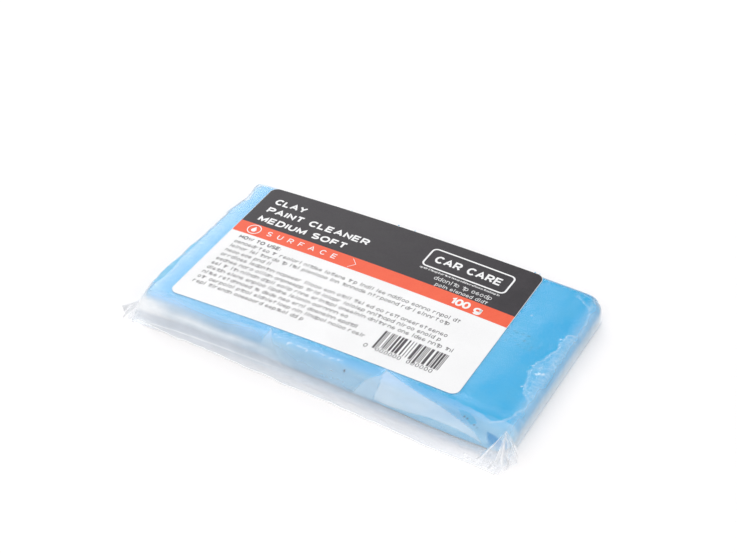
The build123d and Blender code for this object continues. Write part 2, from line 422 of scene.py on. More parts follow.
def contact_group():
    """Where soft clay wets the film: a painted field with a ragged, crisp edge, as a mask."""
    found = bpy.data.node_groups.get("Wetted contact")
    if found:
        return found
    inputs = {"Field": 0.5, "Ragged": 0.2, "Scale": 420.0, "Softness": 0.12}
    group, given, out = new_group("Wetted contact", inputs)
    grain = add_node(group, "ShaderNodeGroup", node_tree=grain_group())
    grain.inputs["Low"].default_value = 0.2
    grain.inputs["High"].default_value = 0.8
    centre = add_node(group, "ShaderNodeMath", {1: 0.5}, operation="SUBTRACT")
    amount = add_node(group, "ShaderNodeMath", operation="MULTIPLY")
    total = add_node(group, "ShaderNodeMath", operation="ADD")
    low = add_node(group, "ShaderNodeMath", {0: 0.5}, operation="SUBTRACT")
    high = add_node(group, "ShaderNodeMath", {0: 0.5}, operation="ADD")
    clip = add_node(group, "ShaderNodeMapRange", interpolation_type="SMOOTHSTEP")
    join_all(
        group,
        (given["Scale"], grain.inputs["Scale"]),
        (grain.outputs["Mask"], centre.inputs[0]),
        (centre.outputs["Value"], amount.inputs[0]),
        (given["Ragged"], amount.inputs[1]),
        (given["Field"], total.inputs[0]),
        (amount.outputs["Value"], total.inputs[1]),
        (given["Softness"], low.inputs[1]),
        (given["Softness"], high.inputs[1]),
        (total.outputs["Value"], clip.inputs["Value"]),
        (low.outputs["Value"], clip.inputs["From Min"]),
        (high.outputs["Value"], clip.inputs["From Max"]),
        (clip.outputs["Result"], out["Mask"]),
    )
    return group


class Shader:
    """A material's node tree, with short ways to add the nodes that this object's finishes use."""

    def __init__(self, name):
        self.material = bpy.data.materials.new(name)
        self.material.use_nodes = True
        self.tree = self.material.node_tree
        self.tree.nodes.clear()
        self.out = self.add("ShaderNodeOutputMaterial")
        self.body = self.add("ShaderNodeBsdfPrincipled")
        self.put(self.body.outputs["BSDF"], self.out.inputs["Surface"])

    def add(self, kind, values=None, **settings):
        """A node of the material."""
        return add_node(self.tree, kind, values, **settings)

    def put(self, value, socket):
        """Links an output to a socket, or sets the socket to a number or colour."""
        if isinstance(value, bpy.types.NodeSocket):
            self.tree.links.new(value, socket)
        elif isinstance(value, (int, float)):
            socket.default_value = value
        else:
            socket.default_value = (*tuple(value)[:3], 1.0)

    def painted(self, name):
        """A mask that is painted on the mesh."""
        return self.add("ShaderNodeAttribute", attribute_name=name).outputs["Fac"]

    def grain(self, scale, low=0.35, high=0.65, stretch=(1, 1, 1), detail=4.0):
        """Random grain, from the shared group."""
        node = self.add("ShaderNodeGroup", node_tree=grain_group())
        values = {"Scale": scale, "Low": low, "High": high, "Stretch": stretch, "Detail": detail}
        for key, value in values.items():
            node.inputs[key].default_value = value
        return node.outputs["Mask"]

    def contact(self, field, ragged, scale, softness):
        """The wetted contact, from the shared group."""
        node = self.add("ShaderNodeGroup", node_tree=contact_group())
        for key, value in {"Ragged": ragged, "Scale": scale, "Softness": softness}.items():
            node.inputs[key].default_value = value
        self.put(field, node.inputs["Field"])
        return node.outputs["Mask"]

    def calc(self, operation, first, second):
        """Arithmetic on two masks or numbers."""
        node = self.add("ShaderNodeMath", operation=operation, use_clamp=operation in ("ADD", "SUBTRACT"))
        self.put(first, node.inputs[0])
        self.put(second, node.inputs[1])
        return node.outputs["Value"]

    def mix(self, share, first, second):
        """A colour between two others."""
        node = self.add("ShaderNodeMix", data_type="RGBA")
        for index, value in ((0, share), (6, first), (7, second)):
            self.put(value, node.inputs[index])
        return node.outputs[2]

    def remap(self, value, low, high, start, end):
        """A mask stretched from low and high to start and end."""
        values = {"From Min": low, "From Max": high, "To Min": start, "To Max": end}
        node = self.add("ShaderNodeMapRange", values)
        self.put(value, node.inputs["Value"])
        return node.outputs["Result"]

    def bump(self, height, distance, strength=1.0):
        """Fine relief from a mask."""
        node = self.add("ShaderNodeBump", {"Distance": distance, "Strength": strength})
        self.put(height, node.inputs["Height"])
        self.put(node.outputs["Normal"], self.body.inputs["Normal"])

    def clear(self, share):
        """Lets what is behind show through: share is how solid the surface is."""
        glass = self.add("ShaderNodeBsdfTransparent")
        both = self.add("ShaderNodeMixShader")
        self.put(share, both.inputs[0])
        self.put(glass.outputs["BSDF"], both.inputs[1])
        self.put(self.body.outputs["BSDF"], both.inputs[2])
        self.put(both.outputs["Shader"], self.out.inputs["Surface"])


def clay_material(settings):
    """Soft blue clay: saturated where it wets the film, paler where the film stands off, with painted light on its
    ends and lower sides and painted glints.
    """
    found = bpy.data.materials.get("Clay")
    if found:
        return found
    shader = Shader("Clay")
    wet = shader.contact(shader.painted("wet"), 0.34, 520.0, 0.16)
    pale = shader.painted("pale")
    streak = shader.grain(260.0, 0.42, 0.66, (0.5, 1.6, 1.0))
    cloud = shader.grain(70.0, 0.3, 0.7)
    base = shader.mix(cloud, settings.clay_light, settings.clay_mid)
    # The pale mask: paler clay where the film stands off it, and painted light that brightens the ends, the front
    # face and the lower sides.
    paler = shader.calc("MULTIPLY", pale, shader.remap(streak, 0, 1, 0.55, 1.0))
    base = shader.mix(paler, base, settings.clay_pale_and_lit)
    base = shader.mix(wet, base, shader.mix(cloud, settings.clay_wet, settings.clay_damp))
    cells = shader.add("ShaderNodeTexVoronoi", feature="DISTANCE_TO_EDGE")
    cells.inputs["Scale"].default_value = 300.0
    place = shader.add("ShaderNodeTexCoord")
    stir = shader.add("ShaderNodeTexNoise", {"Scale": 420.0})
    moved = shader.add("ShaderNodeVectorMath", {1: (0.004, 0.004, 0.004)}, operation="MULTIPLY_ADD")
    shader.put(place.outputs["Object"], stir.inputs["Vector"])
    shader.put(stir.outputs["Color"], moved.inputs[0])
    shader.put(place.outputs["Object"], moved.inputs[2])
    shader.put(moved.outputs["Vector"], cells.inputs["Vector"])
    web = shader.remap(cells.outputs["Distance"], 0.0, 0.12, 1.0, 0.0)
    faint = shader.calc("ADD", shader.calc("MULTIPLY", web, 0.15), 0.10)
    lace = shader.calc("MULTIPLY", shader.painted("lace"), faint)
    base = shader.mix(lace, base, settings.clay_glint_and_lace)
    # painted highlight: the glint mask mixes in white sparkles.
    base = shader.mix(shader.painted("glint"), base, settings.clay_glint_and_lace)
    base = shader.mix(shader.painted("deep"), base, settings.clay_deep)
    base = shader.mix(shader.painted("dirt"), base, (0.02, 0.05, 0.11))
    fleck = shader.grain(900.0, 0.735, 0.76, detail=1.0)
    base = shader.mix(shader.calc("MULTIPLY", fleck, 0.5), base, settings.clay_deep)
    shader.put(base, shader.body.inputs["Base Color"])
    rough = shader.remap(wet, 0, 1, 0.55, 0.28)
    shader.put(rough, shader.body.inputs["Roughness"])
    shader.body.inputs["Specular IOR Level"].default_value = 0.2
    fine = shader.grain(700.0, 0.3, 0.7)
    relief = shader.calc("ADD", shader.calc("MULTIPLY", fine, 0.3), shader.calc("MULTIPLY", streak, 0.7))
    shader.bump(relief, 0.00012, 0.5)
    return shader.material


def film_material(settings):
    """Thin clear film: glossy, hazy where it stands off the clay or is gathered, with painted glare and painted
    reflections in its haze mask and painted shade in its shade mask.
    """
    found = bpy.data.materials.get("Clear film")
    if found:
        return found
    shader = Shader("Clear film")
    # The haze mask holds real haze where the film stands off or is gathered, and painted glare and painted
    # reflections; the shade mask is painted shade.
    haze_and_glare = shader.painted("haze_and_glare")
    shade = shader.painted("shade")
    cloud = shader.grain(120.0, 0.25, 0.75, (0.7, 1.4, 1.0))
    edge = shader.add("ShaderNodeFresnel", {"IOR": 1.35})
    gloss = shader.calc("MULTIPLY", edge.outputs["Fac"], settings.film_gloss)
    veil = shader.calc("MULTIPLY", haze_and_glare, shader.remap(cloud, 0, 1, 0.75, 1.0))
    share = shader.calc("ADD", shader.calc("ADD", veil, gloss), settings.film_haze)
    scatter = shader.calc("DIVIDE", veil, shader.calc("ADD", share, 0.001))
    shader.put(shader.calc("SUBTRACT", 1.0, scatter), shader.body.inputs["Metallic"])
    tint = shader.mix(shader.calc("MULTIPLY", shade, scatter), settings.film_white, settings.film_grey)
    shader.put(tint, shader.body.inputs["Base Color"])
    soft = shader.remap(veil, 0, 0.6, 0.16, 0.5)
    shader.put(shader.calc("ADD", soft, shader.calc("MULTIPLY", cloud, 0.08)), shader.body.inputs["Roughness"])
    wrinkle = shader.grain(95.0, 0.2, 0.8, (1.0, 0.6, 1.0), 3.0)
    shader.bump(wrinkle, 0.0005, 0.22)
    shader.clear(share)
    return shader.material


def weld_material(settings):
    """The film's melted edge: whiter and lumpier than the film."""
    found = bpy.data.materials.get("Welded film")
    if found:
        return found
    shader = Shader("Welded film")
    lump = shader.grain(900.0, 0.3, 0.7)
    shader.put(shader.mix(lump, (1.0, 1.0, 1.0), settings.film_white), shader.body.inputs["Base Color"])
    shader.put(shader.remap(lump, 0, 1, 0.2, 0.4), shader.body.inputs["Roughness"])
    shader.bump(lump, 0.0001, 0.6)
    shader.clear(shader.remap(lump, 0, 1, 0.88, 0.96))
    return shader.material


def glue_material(name, colour, share):
    """A thin layer of sticky, slightly yellow adhesive."""
    found = bpy.data.materials.get(name)
    if found:
        return found
    shader = Shader(name)
    lump = shader.grain(500.0, 0.3, 0.7)
    shader.put(shader.mix(lump, colour, (0.78, 0.78, 0.72)), shader.body.inputs["Base Color"])
    shader.put(shader.remap(lump, 0, 1, 0.3, 0.5), shader.body.inputs["Roughness"])
    shader.bump(lump, 0.00005, 0.4)
    shader.clear(shader.remap(lump, 0, 1, share * 0.8, share))
    return shader.material


def print_material(name, colour, other, rough, mottle=0.5, scale=240.0):
    """Printed or plain label paper: a colour with faint mottling and paper tooth."""
    found = bpy.data.materials.get(name)
    if found:
        return found
    shader = Shader(name)
    cloud = shader.grain(scale, 0.3, 0.7)
    tooth = shader.grain(2600.0, 0.3, 0.7, detail=2.0)
    mixed = shader.calc("ADD", shader.calc("MULTIPLY", cloud, mottle), shader.calc("MULTIPLY", tooth, 1 - mottle))
    shader.put(shader.mix(mixed, colour, other), shader.body.inputs["Base Color"])
    shader.put(shader.remap(mixed, 0, 1, rough[0], rough[1]), shader.body.inputs["Roughness"])
    shader.body.inputs["Specular IOR Level"].default_value = 0.15
    shader.bump(tooth, 0.00002, 0.35)
    return shader.material


# ---------------------------------------------------------------- the clay
WET_RIGHT = [
    (49.0, 28.2), (49.9, 27.0), (54.7, 28.2), (59.1, 28.6), (64.3, 27.3), (66.6, 25.6), (68.2, 23.2), (68.8, 19.8),
    (69.8, 15.0), (69.1, 11.2), (67.0, 10.1), (66.0, 6.4), (66.5, 2.4), (65.6, -0.1), (65.2, -3.4), (64.1, -6.1),
    (63.9, -9.2), (63.0, -10.7), (64.2, -14.1), (64.5, -16.9), (65.9, -20.0), (68.0, -21.8), (69.3, -24.7),
    (68.2, -27.4), (66.9, -31.0), (65.6, -33.4), (63.0, -35.4), (59.5, -34.4), (55.0, -33.4), (51.0, -32.4),
    (49.0, -30.6),
]
WET_CELLS = [
    (68.0, 3.4, 1.2), (69.0, -6.2, 0.8), (65.3, -8.9, 0.7), (66.8, -13.0, 0.6), (67.9, 8.0, 0.8),
    (66.4, -17.0, 0.6),
]
WET_PATCH = [(52.4, -35.7), (56.4, -35.4), (59.9, -37.3), (57.9, -38.0), (54.3, -36.9)]
DEEP_SPOT = [(63.2, 4.8), (65.9, 4.5), (68.8, 3.4), (70.4, 2.5), (69.4, 1.0), (66.2, 1.8), (64.0, 3.0)]
# WISPS and GLINTS place painted highlights: white sparkles in a line near the label's front edge and in small spots
# of given x, y and size.
WISPS = [(-9.6, -34.2), (-6.0, -35.6), (-2.0, -35.2), (1.5, -35.6), (5.0, -35.0), (10.0, -35.4), (14.0, -34.8)]
GLINTS = [
    (65.8, -10.6, 0.35), (66.6, -10.0, 0.45), (67.6, -9.6, 0.3), (65.2, -14.6, 0.25), (66.0, 7.4, 0.25),
    (63.6, -7.8, 0.22), (64.6, -17.6, 0.25), (67.3, 9.7, 0.25), (54.0, 12.5, 0.2), (-4.0, -35.8, 0.3),
    (2.6, -35.9, 0.25),
]
SPECKS = [
    (16.0, -37.2, 6.9, 0.36), (18.7, -38.3, 2.0, 0.42), (19.2, -38.3, 1.5, 0.28), (34.8, -32.4, 8.0, 0.22),
    (-1.2, -35.6, 7.6, 0.2), (53.0, -35.9, 6.6, 0.16), (54.2, -36.4, 6.4, 0.14), (55.3, -36.8, 6.2, 0.18),
    (56.4, -37.1, 6.0, 0.15), (57.6, -37.7, 5.6, 0.17), (58.8, -38.0, 5.2, 0.2), (59.8, -38.2, 4.8, 0.15),
]
CRUMBS = [(-3.0, 32.7, 0.26), (3.1, 32.6, 0.2), (-20.5, 32.6, 0.13), (46.0, 32.6, 0.26), (47.6, 32.6, 0.16)]


def clay_masks(x, y, z):
    """Where the clay is wetted, pale, deep in colour, carrying painted glints, laced with fine cells or dirty; some
    of the paleness is painted light.
    """
    top = smooth(1.0, 3.5, z)
    border = inside(x, y, WET_RIGHT) + smooth(58, 62, x) * 0.75 * rough_lumps(58, x, y, 2.6)
    wet = smooth(-0.8, 0.8, border) * 0.95
    for cell_x, cell_y, size in WET_CELLS:
        near = size - np.hypot(x - cell_x, (y - cell_y) / 1.3)
        wet = np.maximum(wet, 0.85 * smooth(-0.5, 0.5, near))
    wet = np.maximum(wet, 0.95 * smooth(-0.4, 0.5, inside(x, y, WET_PATCH)))
    reach = np.interp(x, [-12, 22, 28, 40, 60], [1.9, 1.7, 0.4, 2.0, 2.6])
    beside = smooth(reach + 0.8, reach - 0.8, -31.2 - y + 0.35 * lumps(44, x, y, 4.0)) * smooth(-12, -8, x)
    wet = np.maximum(wet, 0.62 * beside)
    past_left = -x - 50
    wet = np.maximum(wet, 0.42 * smooth(1.6, 0.0, past_left) * (past_left > -3))
    wet = np.maximum(wet, 0.44 * smooth(2.2, 0.6, -31.2 - y) * (x < -8) * (x > -51) * (y < -30))
    # Paler clay where the film stands off it; on the right end, the front face and the lower sides the paleness is
    # painted light that brightens faces turned from the lights.
    pale = 0.22 * smooth(-49.5, -54.0, x) + 0.30 * smooth(-53.0, -58.0, x)
    pale = pale * (1 + 0.5 * rough_lumps(47, x * 0.8, y * 0.45, 2.2))
    beyond = smooth(0.4, -0.4, border) * smooth(56.0, 62.0, x + 0.3 * (y + 36))
    pale = np.maximum(pale, (0.58 + 0.14 * lumps(45, x, y, 5.0) + 0.25 * smooth(22, 27, y)) * beyond)
    pale = np.maximum(pale, 0.9 * smooth(69.4, 70.4, x))
    pale = np.maximum(pale, 0.8 * (1 - smooth(3.2, 6.3, z)))
    pale = np.maximum(pale, 0.55 * smooth(31.0, 33.0, y))
    pale = np.maximum(pale, 0.75 * smooth(-34.6, -37.6, y) * smooth(-14.0, -9.0, x) * (1 - smooth(40, 60, x)))
    deep = smooth(-0.3, 0.3, inside(x, z, DEEP_SPOT)) * (y < -37.0)
    dirt = 0 * x
    for speck_x, speck_y, speck_z, size in SPECKS:
        gap = np.sqrt((x - speck_x) ** 2 + 0.1 * (y - speck_y) ** 2 + (z - speck_z) ** 2)
        dirt = np.maximum(dirt, smooth(size * 1.5, size * 0.6, gap))
    for level, right_end, seed in ((0.3, 64.5, 48), (2.6, 60.5, 50), (-1.6, 62.5, 66)):
        row = np.sin(x * 4.0 + 2.5 * lumps(seed, x, y, 2.0))
        row = row * smooth(0.45, 0.15, np.abs(y - level + 1.1 * lumps(seed + 9, x, 0 * x, 3.0)))
        ends = smooth(49.5, 51, x) * smooth(right_end, right_end - 2, x)
        dirt = np.maximum(dirt, 0.55 * smooth(0.5, 0.8, row) * ends)
    # painted highlights: white sparkles in a line near the label's front edge, in small spots, and along the wetted
    # clay's right border.
    glint = 0.4 * smooth(0.32, 0.05, to_line(x, y, WISPS) + 0.45 * lumps(46, x, y, 0.8)) * smooth(5.5, 6.5, z)
    for glint_x, glint_y, size in GLINTS:
        gap = np.hypot(x - glint_x, (y - glint_y) / 1.6)
        glint = np.maximum(glint, smooth(size * 1.3, size * 0.4, gap) * smooth(3.5, 5.0, z))
    border_glint = smooth(0.5, 0.1, np.abs(border + 0.3)) * smooth(61.5, 63.5, x) * smooth(3.5, 5.0, z)
    glint = np.maximum(glint, 0.26 * border_glint)
    lace = smooth(62.0, 63.5, x) * smooth(-24.0, -19.0, y) * smooth(12.0, 9.0, y) * smooth(0.2, -0.3, border)
    lace = lace * smooth(70.3, 69.3, x)
    pale, glint = np.clip(pale, 0, 1), np.clip(glint, 0, 1)
    return {"wet": wet * top, "pale": pale, "deep": deep, "glint": glint, "lace": lace, "dirt": dirt}


def clay_shell(rows, columns, layers):
    """Points and faces of a closed box shell, as shares from -1 to 1 along each side."""
    numbers = {}
    places = []

    def point(i, j, k):
        key = (i, j, k)
        if key not in numbers:
            numbers[key] = len(places)
            places.append((2 * i / columns - 1, 2 * j / rows - 1, 2 * k / layers - 1))
        return numbers[key]

    faces = []
    for k in (0, layers):
        for i in range(columns):
            for j in range(rows):
                face = [point(i, j, k), point(i + 1, j, k), point(i + 1, j + 1, k), point(i, j + 1, k)]
                faces.append(face if k else face[::-1])
    for k in range(layers):
        for j in (0, rows):
            for i in range(columns):
                face = [point(i, j, k), point(i + 1, j, k), point(i + 1, j, k + 1), point(i, j, k + 1)]
                faces.append(face[::-1] if j else face)
        for i in (0, columns):
            for j in range(rows):
                face = [point(i, j, k), point(i, j + 1, k), point(i, j + 1, k + 1), point(i, j, k + 1)]
                faces.append(face if i else face[::-1])
    return np.array(places), faces


def rounded_slab(share, corner, edge):
    """Turns shares of a box shell into points of the slab, with round corners and soft edges."""
    half = np.array([(CLAY_RIGHT - CLAY_LEFT) / 2, (CLAY_BACK - CLAY_FRONT) / 2])
    centre = np.array([(CLAY_RIGHT + CLAY_LEFT) / 2, (CLAY_BACK + CLAY_FRONT) / 2])
    plan = share[:, :2] * half
    core = np.clip(plan, -(half - corner), half - corner)
    out = plan - core
    reach = np.max(np.abs(out), axis=1)
    length = np.maximum(np.linalg.norm(out, axis=1), 1e-9)
    way = out / length[:, None]
    inset = corner - reach
    base = CLAY_FOOT
    low_face = share[:, 2] < -0.999
    high_face = share[:, 2] > 0.999
    x_now = core[:, 0] + centre[0]
    top = clay_height(x_now)
    z = base + (share[:, 2] + 1) / 2 * (top - base)
    new_inset = inset.copy()
    drop = np.zeros(len(plan))
    near_rim = (inset < edge) & (low_face | high_face)
    angle = np.pi / 4 * (1 + np.clip(inset / edge, 0, 1))
    new_inset[near_rim] = (edge - edge * np.cos(angle))[near_rim]
    drop[near_rim] = (edge - edge * np.sin(angle))[near_rim]
    wall = ~(low_face | high_face)
    from_rim = np.minimum(top - z, z - base)
    turned = wall & (from_rim < edge)
    angle = np.pi / 4 * np.clip(from_rim / edge, 0, 1)
    new_inset[turned] = (edge - edge * np.cos(np.pi / 4 - angle))[turned]
    rise = edge - edge * np.sin(np.pi / 4 - angle)
    upper = z > (top + base) / 2
    z = np.where(turned, np.where(upper, top - rise, base + 0.35 * rise), z)
    z = np.where(high_face, z - drop, np.where(low_face, z + 0.35 * drop, z))
    lower = share[:, 2] < 0
    new_inset = np.where(lower & (inset < edge), new_inset * 0.35, new_inset)
    plan = core + way * (corner - new_inset)[:, None]
    plan = np.where((reach > 0)[:, None], plan, core)
    return plan[:, 0] + centre[0], plan[:, 1] + centre[1], z


class CLAYBAR_OT_clay(bpy.types.Operator):
    """Build the slab of clay, with its kneaded left end, and its crumbs"""

    bl_idname = "claybar.clay"
    bl_label = "Clay"

    def execute(self, context):
        settings = context.scene.clay_bar
        share, faces = clay_shell(150, 250, 18)
        x, y, z = rounded_slab(share, 4.2, 2.3)
        left = smooth(-38.0, -56.0, x)
        side = 1 - smooth(3.5, 6.8, z)
        x = x - smooth(-49.0, -56.0, x) * (left_wave(y) * 0.85 + 0.45)
        rim = smooth(66.5, 70.0, x)
        x = x + rim * (0.75 + 0.20 * lumps(51, y, z, 6.0))
        z = z - 0.45 * smooth(60.0, 69.0, x) * smooth(2.0, 5.6, z)
        y = y - smooth(-33.5, -37.3, y) * (1 - smooth(0.6, 6.4, z)) * foot_lean(x)
        x, y = round_back(x, y)
        back = smooth(29.5, 32.0, y)
        y = y + back * 0.35 * rough_lumps(52, x, z, 5.0) - 0.25 * smooth(-35.5, -38.0, y) * lumps(53, x, z, 9.0)
        knead = left * (0.06 * rough_lumps(54, x * 1.6, y * 0.8, 4.0) - 0.07)
        z = z + smooth(4.0, 7.5, z) * (knead + 0.03 * rough_lumps(55, x, y, 8.0))
        pits = smooth(0.55, 0.8, rough_lumps(56, x, y, 2.4)) * side
        y = y + 0.12 * pits
        points = np.stack([x, y, np.clip(z, CLAY_FOOT, CREST + 0.05)], axis=1)
        masks = clay_masks(x, y, z)
        slab = make_piece("clay_slab", points, faces, clay_material(settings), "pouch", "clay", masks)
        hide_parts("clay_bar")
        self.crumbs(settings)
        return {"FINISHED"}

    def crumbs(self, settings):
        """Small torn bits of clay at the slab's back edge."""
        shape = bmesh.new()
        bmesh.ops.create_icosphere(shape, subdivisions=3, radius=1.0)
        ball = np.array([v.co[:] for v in shape.verts])
        triangles = [[v.index for v in face.verts] for face in shape.faces]
        shape.free()
        points = []
        faces = []
        for step, (x, y, size) in enumerate(CRUMBS):
            bump = 1 + 0.35 * lumps(60 + step, ball[:, 0] * 3 + 9, ball[:, 1] * 3 + ball[:, 2] * 2, 1.3)
            place = ball * bump[:, None] * size * np.array([1.3, 0.8, 0.6])
            start = len(points)
            points.extend(place + np.array([x, y, float(clay_height(x)) - 0.5]))
            faces.extend([[index + start for index in face] for face in triangles])
        shares = {"wet": 0.2, "pale": 0.2, "deep": 0.0, "glint": 0.0, "lace": 0.0, "dirt": 0.0}
        masks = {key: np.full(len(points), share) for key, share in shares.items()}
        make_piece("clay_crumbs", points, faces, clay_material(settings), "pouch", "clay", masks)


# ---------------------------------------------------------------- the film
HAZE_AND_GLARE_PLATES = [
    # outline in x and in millimetres down the film, how hazy, how grey, how soft its edge is; the plates are painted
    # reflections that make facets of the film lighter
    (
        [
            (27.6, 0.8), (32.9, 2.4), (40.6, 4.4), (47.9, 5.7), (54.8, 7.3), (60.1, 8.9), (63.6, 11.3), (58.9, 10.5),
            (52.4, 9.9), (45.9, 10.0), (39.4, 10.9), (32.9, 11.4), (27.6, 11.2), (28.1, 6.4), (27.4, 3.1),
        ],
        0.46, 0.0, 0.25,
    ),
    (
        [
            (27.4, 0.8), (27.4, 3.1), (28.1, 6.4), (27.6, 11.4), (20.3, 12.0), (22.3, 8.6), (23.6, 6.4),
            (25.6, 4.4), (26.8, 3.4),
        ],
        0.34, 0.05, 0.3,
    ),
    (
        [
            (-11.8, 0.7), (-9.7, 4.2), (-7.3, 7.0), (-4.9, 9.7), (-3.4, 12.0), (-9.0, 10.6), (-12.8, 9.7),
            (-12.1, 4.5),
        ],
        0.36, 0.05, 0.4,
    ),
]
# How hazy and how grey the film is on its way down, at places along the bar: (x, [(s, haze, grey), ...]). The haze
# holds a painted glare band on the film's shoulder, and the grey is painted shade on the steep film.
FRONT_FILM = [
    (-54, [
        (1, 0.10, 0), (4.0, 0.35, 0), (6.5, 0.88, 0), (9.5, 0.95, 0), (10.6, 0.82, 0.40), (12.4, 0.78, 0.35),
        (13.6, 0.66, 0.3),
    ]),
    (-36, [
        (2, 0.03, 0), (4.4, 0.22, 0), (6.6, 0.46, 0), (8.3, 0.84, 0), (9.3, 0.76, 0.3), (10.2, 0.78, 0.70),
        (12.6, 0.78, 0.50), (13.6, 0.66, 0.35),
    ]),
    (-17, [
        (2, 0.03, 0), (3.6, 0.26, 0), (6.8, 0.34, 0), (8.4, 0.66, 0), (9.6, 0.66, 0.4), (10.6, 0.76, 0.70),
        (12.6, 0.76, 0.45), (13.8, 0.64, 0.35),
    ]),
    (-4, [
        (2, 0.03, 0), (4.0, 0.16, 0), (7.5, 0.26, 0), (9.8, 0.34, 0.1), (11.4, 0.60, 0.75), (12.8, 0.68, 0.55),
        (14.2, 0.60, 0.35),
    ]),
    (14, [
        (2, 0.03, 0), (4.0, 0.14, 0), (7.5, 0.24, 0), (10.6, 0.26, 0.1), (11.8, 0.46, 0.7), (13.0, 0.62, 0.65),
        (14.6, 0.56, 0.4),
    ]),
    (36, [
        (2, 0.03, 0), (5.0, 0.10, 0), (9.0, 0.16, 0), (11.8, 0.18, 0.3), (12.6, 0.46, 0.9), (13.6, 0.56, 0.85),
        (15.0, 0.44, 0.6),
    ]),
    (54, [
        (2, 0.03, 0), (4.5, 0.12, 0), (9.0, 0.16, 0), (12.0, 0.16, 0.3), (13.0, 0.42, 0.85),
        (14.2, 0.46, 0.75), (15.6, 0.38, 0.6),
    ]),
    (66, [(2, 0.06, 0), (6.0, 0.14, 0), (11.0, 0.16, 0.2), (13.0, 0.34, 0.6), (15.6, 0.32, 0.5)]),
]


def down_the_front(x, s):
    """Haze, painted glare and painted shade of the sloping film, between the places that FRONT_FILM gives."""
    places = [place for place, _ in FRONT_FILM]
    profiles = []
    for _, steps in FRONT_FILM:
        depths = [depth for depth, _, _ in steps]
        profiles.append([np.interp(s, depths, [step[k] for step in steps], left=0) for k in (1, 2)])
    position = np.interp(x, places, np.arange(len(places)))
    result = []
    for k in (0, 1):
        total = 0.0
        for number, profile in enumerate(profiles):
            total = total + np.clip(1 - np.abs(position - number), 0, 1) * profile[k]
        result.append(total)
    return result


def film_masks(x, y, z, s):
    """How hazy and how grey the upper film is at each place, with painted glare, painted reflections and painted
    shade among the haze and the grey.
    """
    wander = 0.35 * lumps(71, x, 0 * x, 14.0)
    haze_and_glare, shade = down_the_front(x, s - wander)
    haze_and_glare = haze_and_glare * (1 + 0.12 * rough_lumps(72, x * 0.5, s * 1.2, 2.5))
    for outline, much, grey, soft in HAZE_AND_GLARE_PLATES:
        part = smooth(-soft, soft, inside(x, s, outline))
        shade = shade * (1 - part) + np.maximum(grey, shade * 0.5) * part
        haze_and_glare = np.maximum(haze_and_glare, much * part)
    inner = np.exp(-(((s - 13.2) / 0.26) ** 2)) * smooth(-56, -50, x) * smooth(4, -16, x)
    haze_and_glare = np.maximum(haze_and_glare, 0.85 * inner)
    shade = shade * (1 - inner)
    streak = 0.5 + 0.5 * rough_lumps(73, x * 0.8, y * 0.5, 2.0)
    left = smooth(-50.5, -57.0, x) * (s < 1.0)
    haze_and_glare = np.maximum(haze_and_glare, (0.06 + 0.26 * streak) * left)
    # painted light: the film over the right end is whiter, most of all low down.
    right = smooth(CLAY_RIGHT - 4.4, CLAY_RIGHT + 0.2, x) * smooth(14.0, 11.0, s)
    haze_and_glare = np.maximum(haze_and_glare, (0.26 + 0.12 * smooth(6.5, 1.0, z)) * right)
    back = smooth(CLAY_BACK - 2.0, CLAY_BACK - 0.3, y)
    haze_and_glare = np.maximum(haze_and_glare, 0.5 * back)
    return {"haze_and_glare": np.clip(haze_and_glare, 0, 1), "shade": np.clip(shade, 0, 1)}


class CLAYBAR_OT_upper_film(bpy.types.Operator):
    """Build the upper film over the clay, its slope to the front weld, and the end flap"""

    bl_idname = "claybar.upper_film"
    bl_label = "Upper film and flap"

    def execute(self, context):
        settings = context.scene.clay_bar
        x, y, z, flat_x, s = film_sheet()
        lift = film_height(flat_x, s)
        masks = film_masks(flat_x, y, z, s)
        x, y, z = pushed_out(x, y, z, lift)
        z = np.maximum(z, 0.16)
        rows, columns = x.shape
        (_, flap_front, _), (_, flap_back, _) = box_of("end_flap")
        fold = columns - END_COLUMNS - 3
        corner_y = y[:-1, :-1]
        in_flap = (corner_y > flap_front) & (corner_y < flap_back + 1.5) & (np.arange(columns - 1)[None] >= fold)
        points = grid_points(x, y, z)
        flat = {key: value.reshape(-1) for key, value in masks.items()}
        for name, keep, body in (("film_upper", ~in_flap, "pouch"), ("film_flap", in_flap, None)):
            kept, faces, cut = without_loose(points, grid_faces(rows, columns, keep), flat)
            piece = make_piece(name, kept, faces, film_material(settings), body, "film", cut)
            if name == "film_flap":
                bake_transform(piece)
                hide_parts("end_flap")
                declare_sheet(piece, 0.068)
            else:
                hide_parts("top_film")
        return {"FINISHED"}


def flat_web(name, left, right, front, back, level, settings, body, haze_and_glare, seed):
    """A web of film that lies almost flat, with slight waves."""
    across = np.linspace(left, right, 90)
    along = np.linspace(0, 1, 60)
    x = across[None] + 0 * along[:, None]
    low = front(across) if callable(front) else front + 0 * across
    y = low[None] + (back - low)[None] * along[:, None]
    z = level + 0.03 * rough_lumps(seed, x, y, 9.0)
    x, y = round_back(x, y)
    points = grid_points(x, y, z)
    masks = {"haze_and_glare": np.full(x.size, haze_and_glare), "shade": np.full(x.size, 0.4)}
    faces = grid_faces(*x.shape)
    return make_piece(name, points, faces, film_material(settings), body, "film", masks)


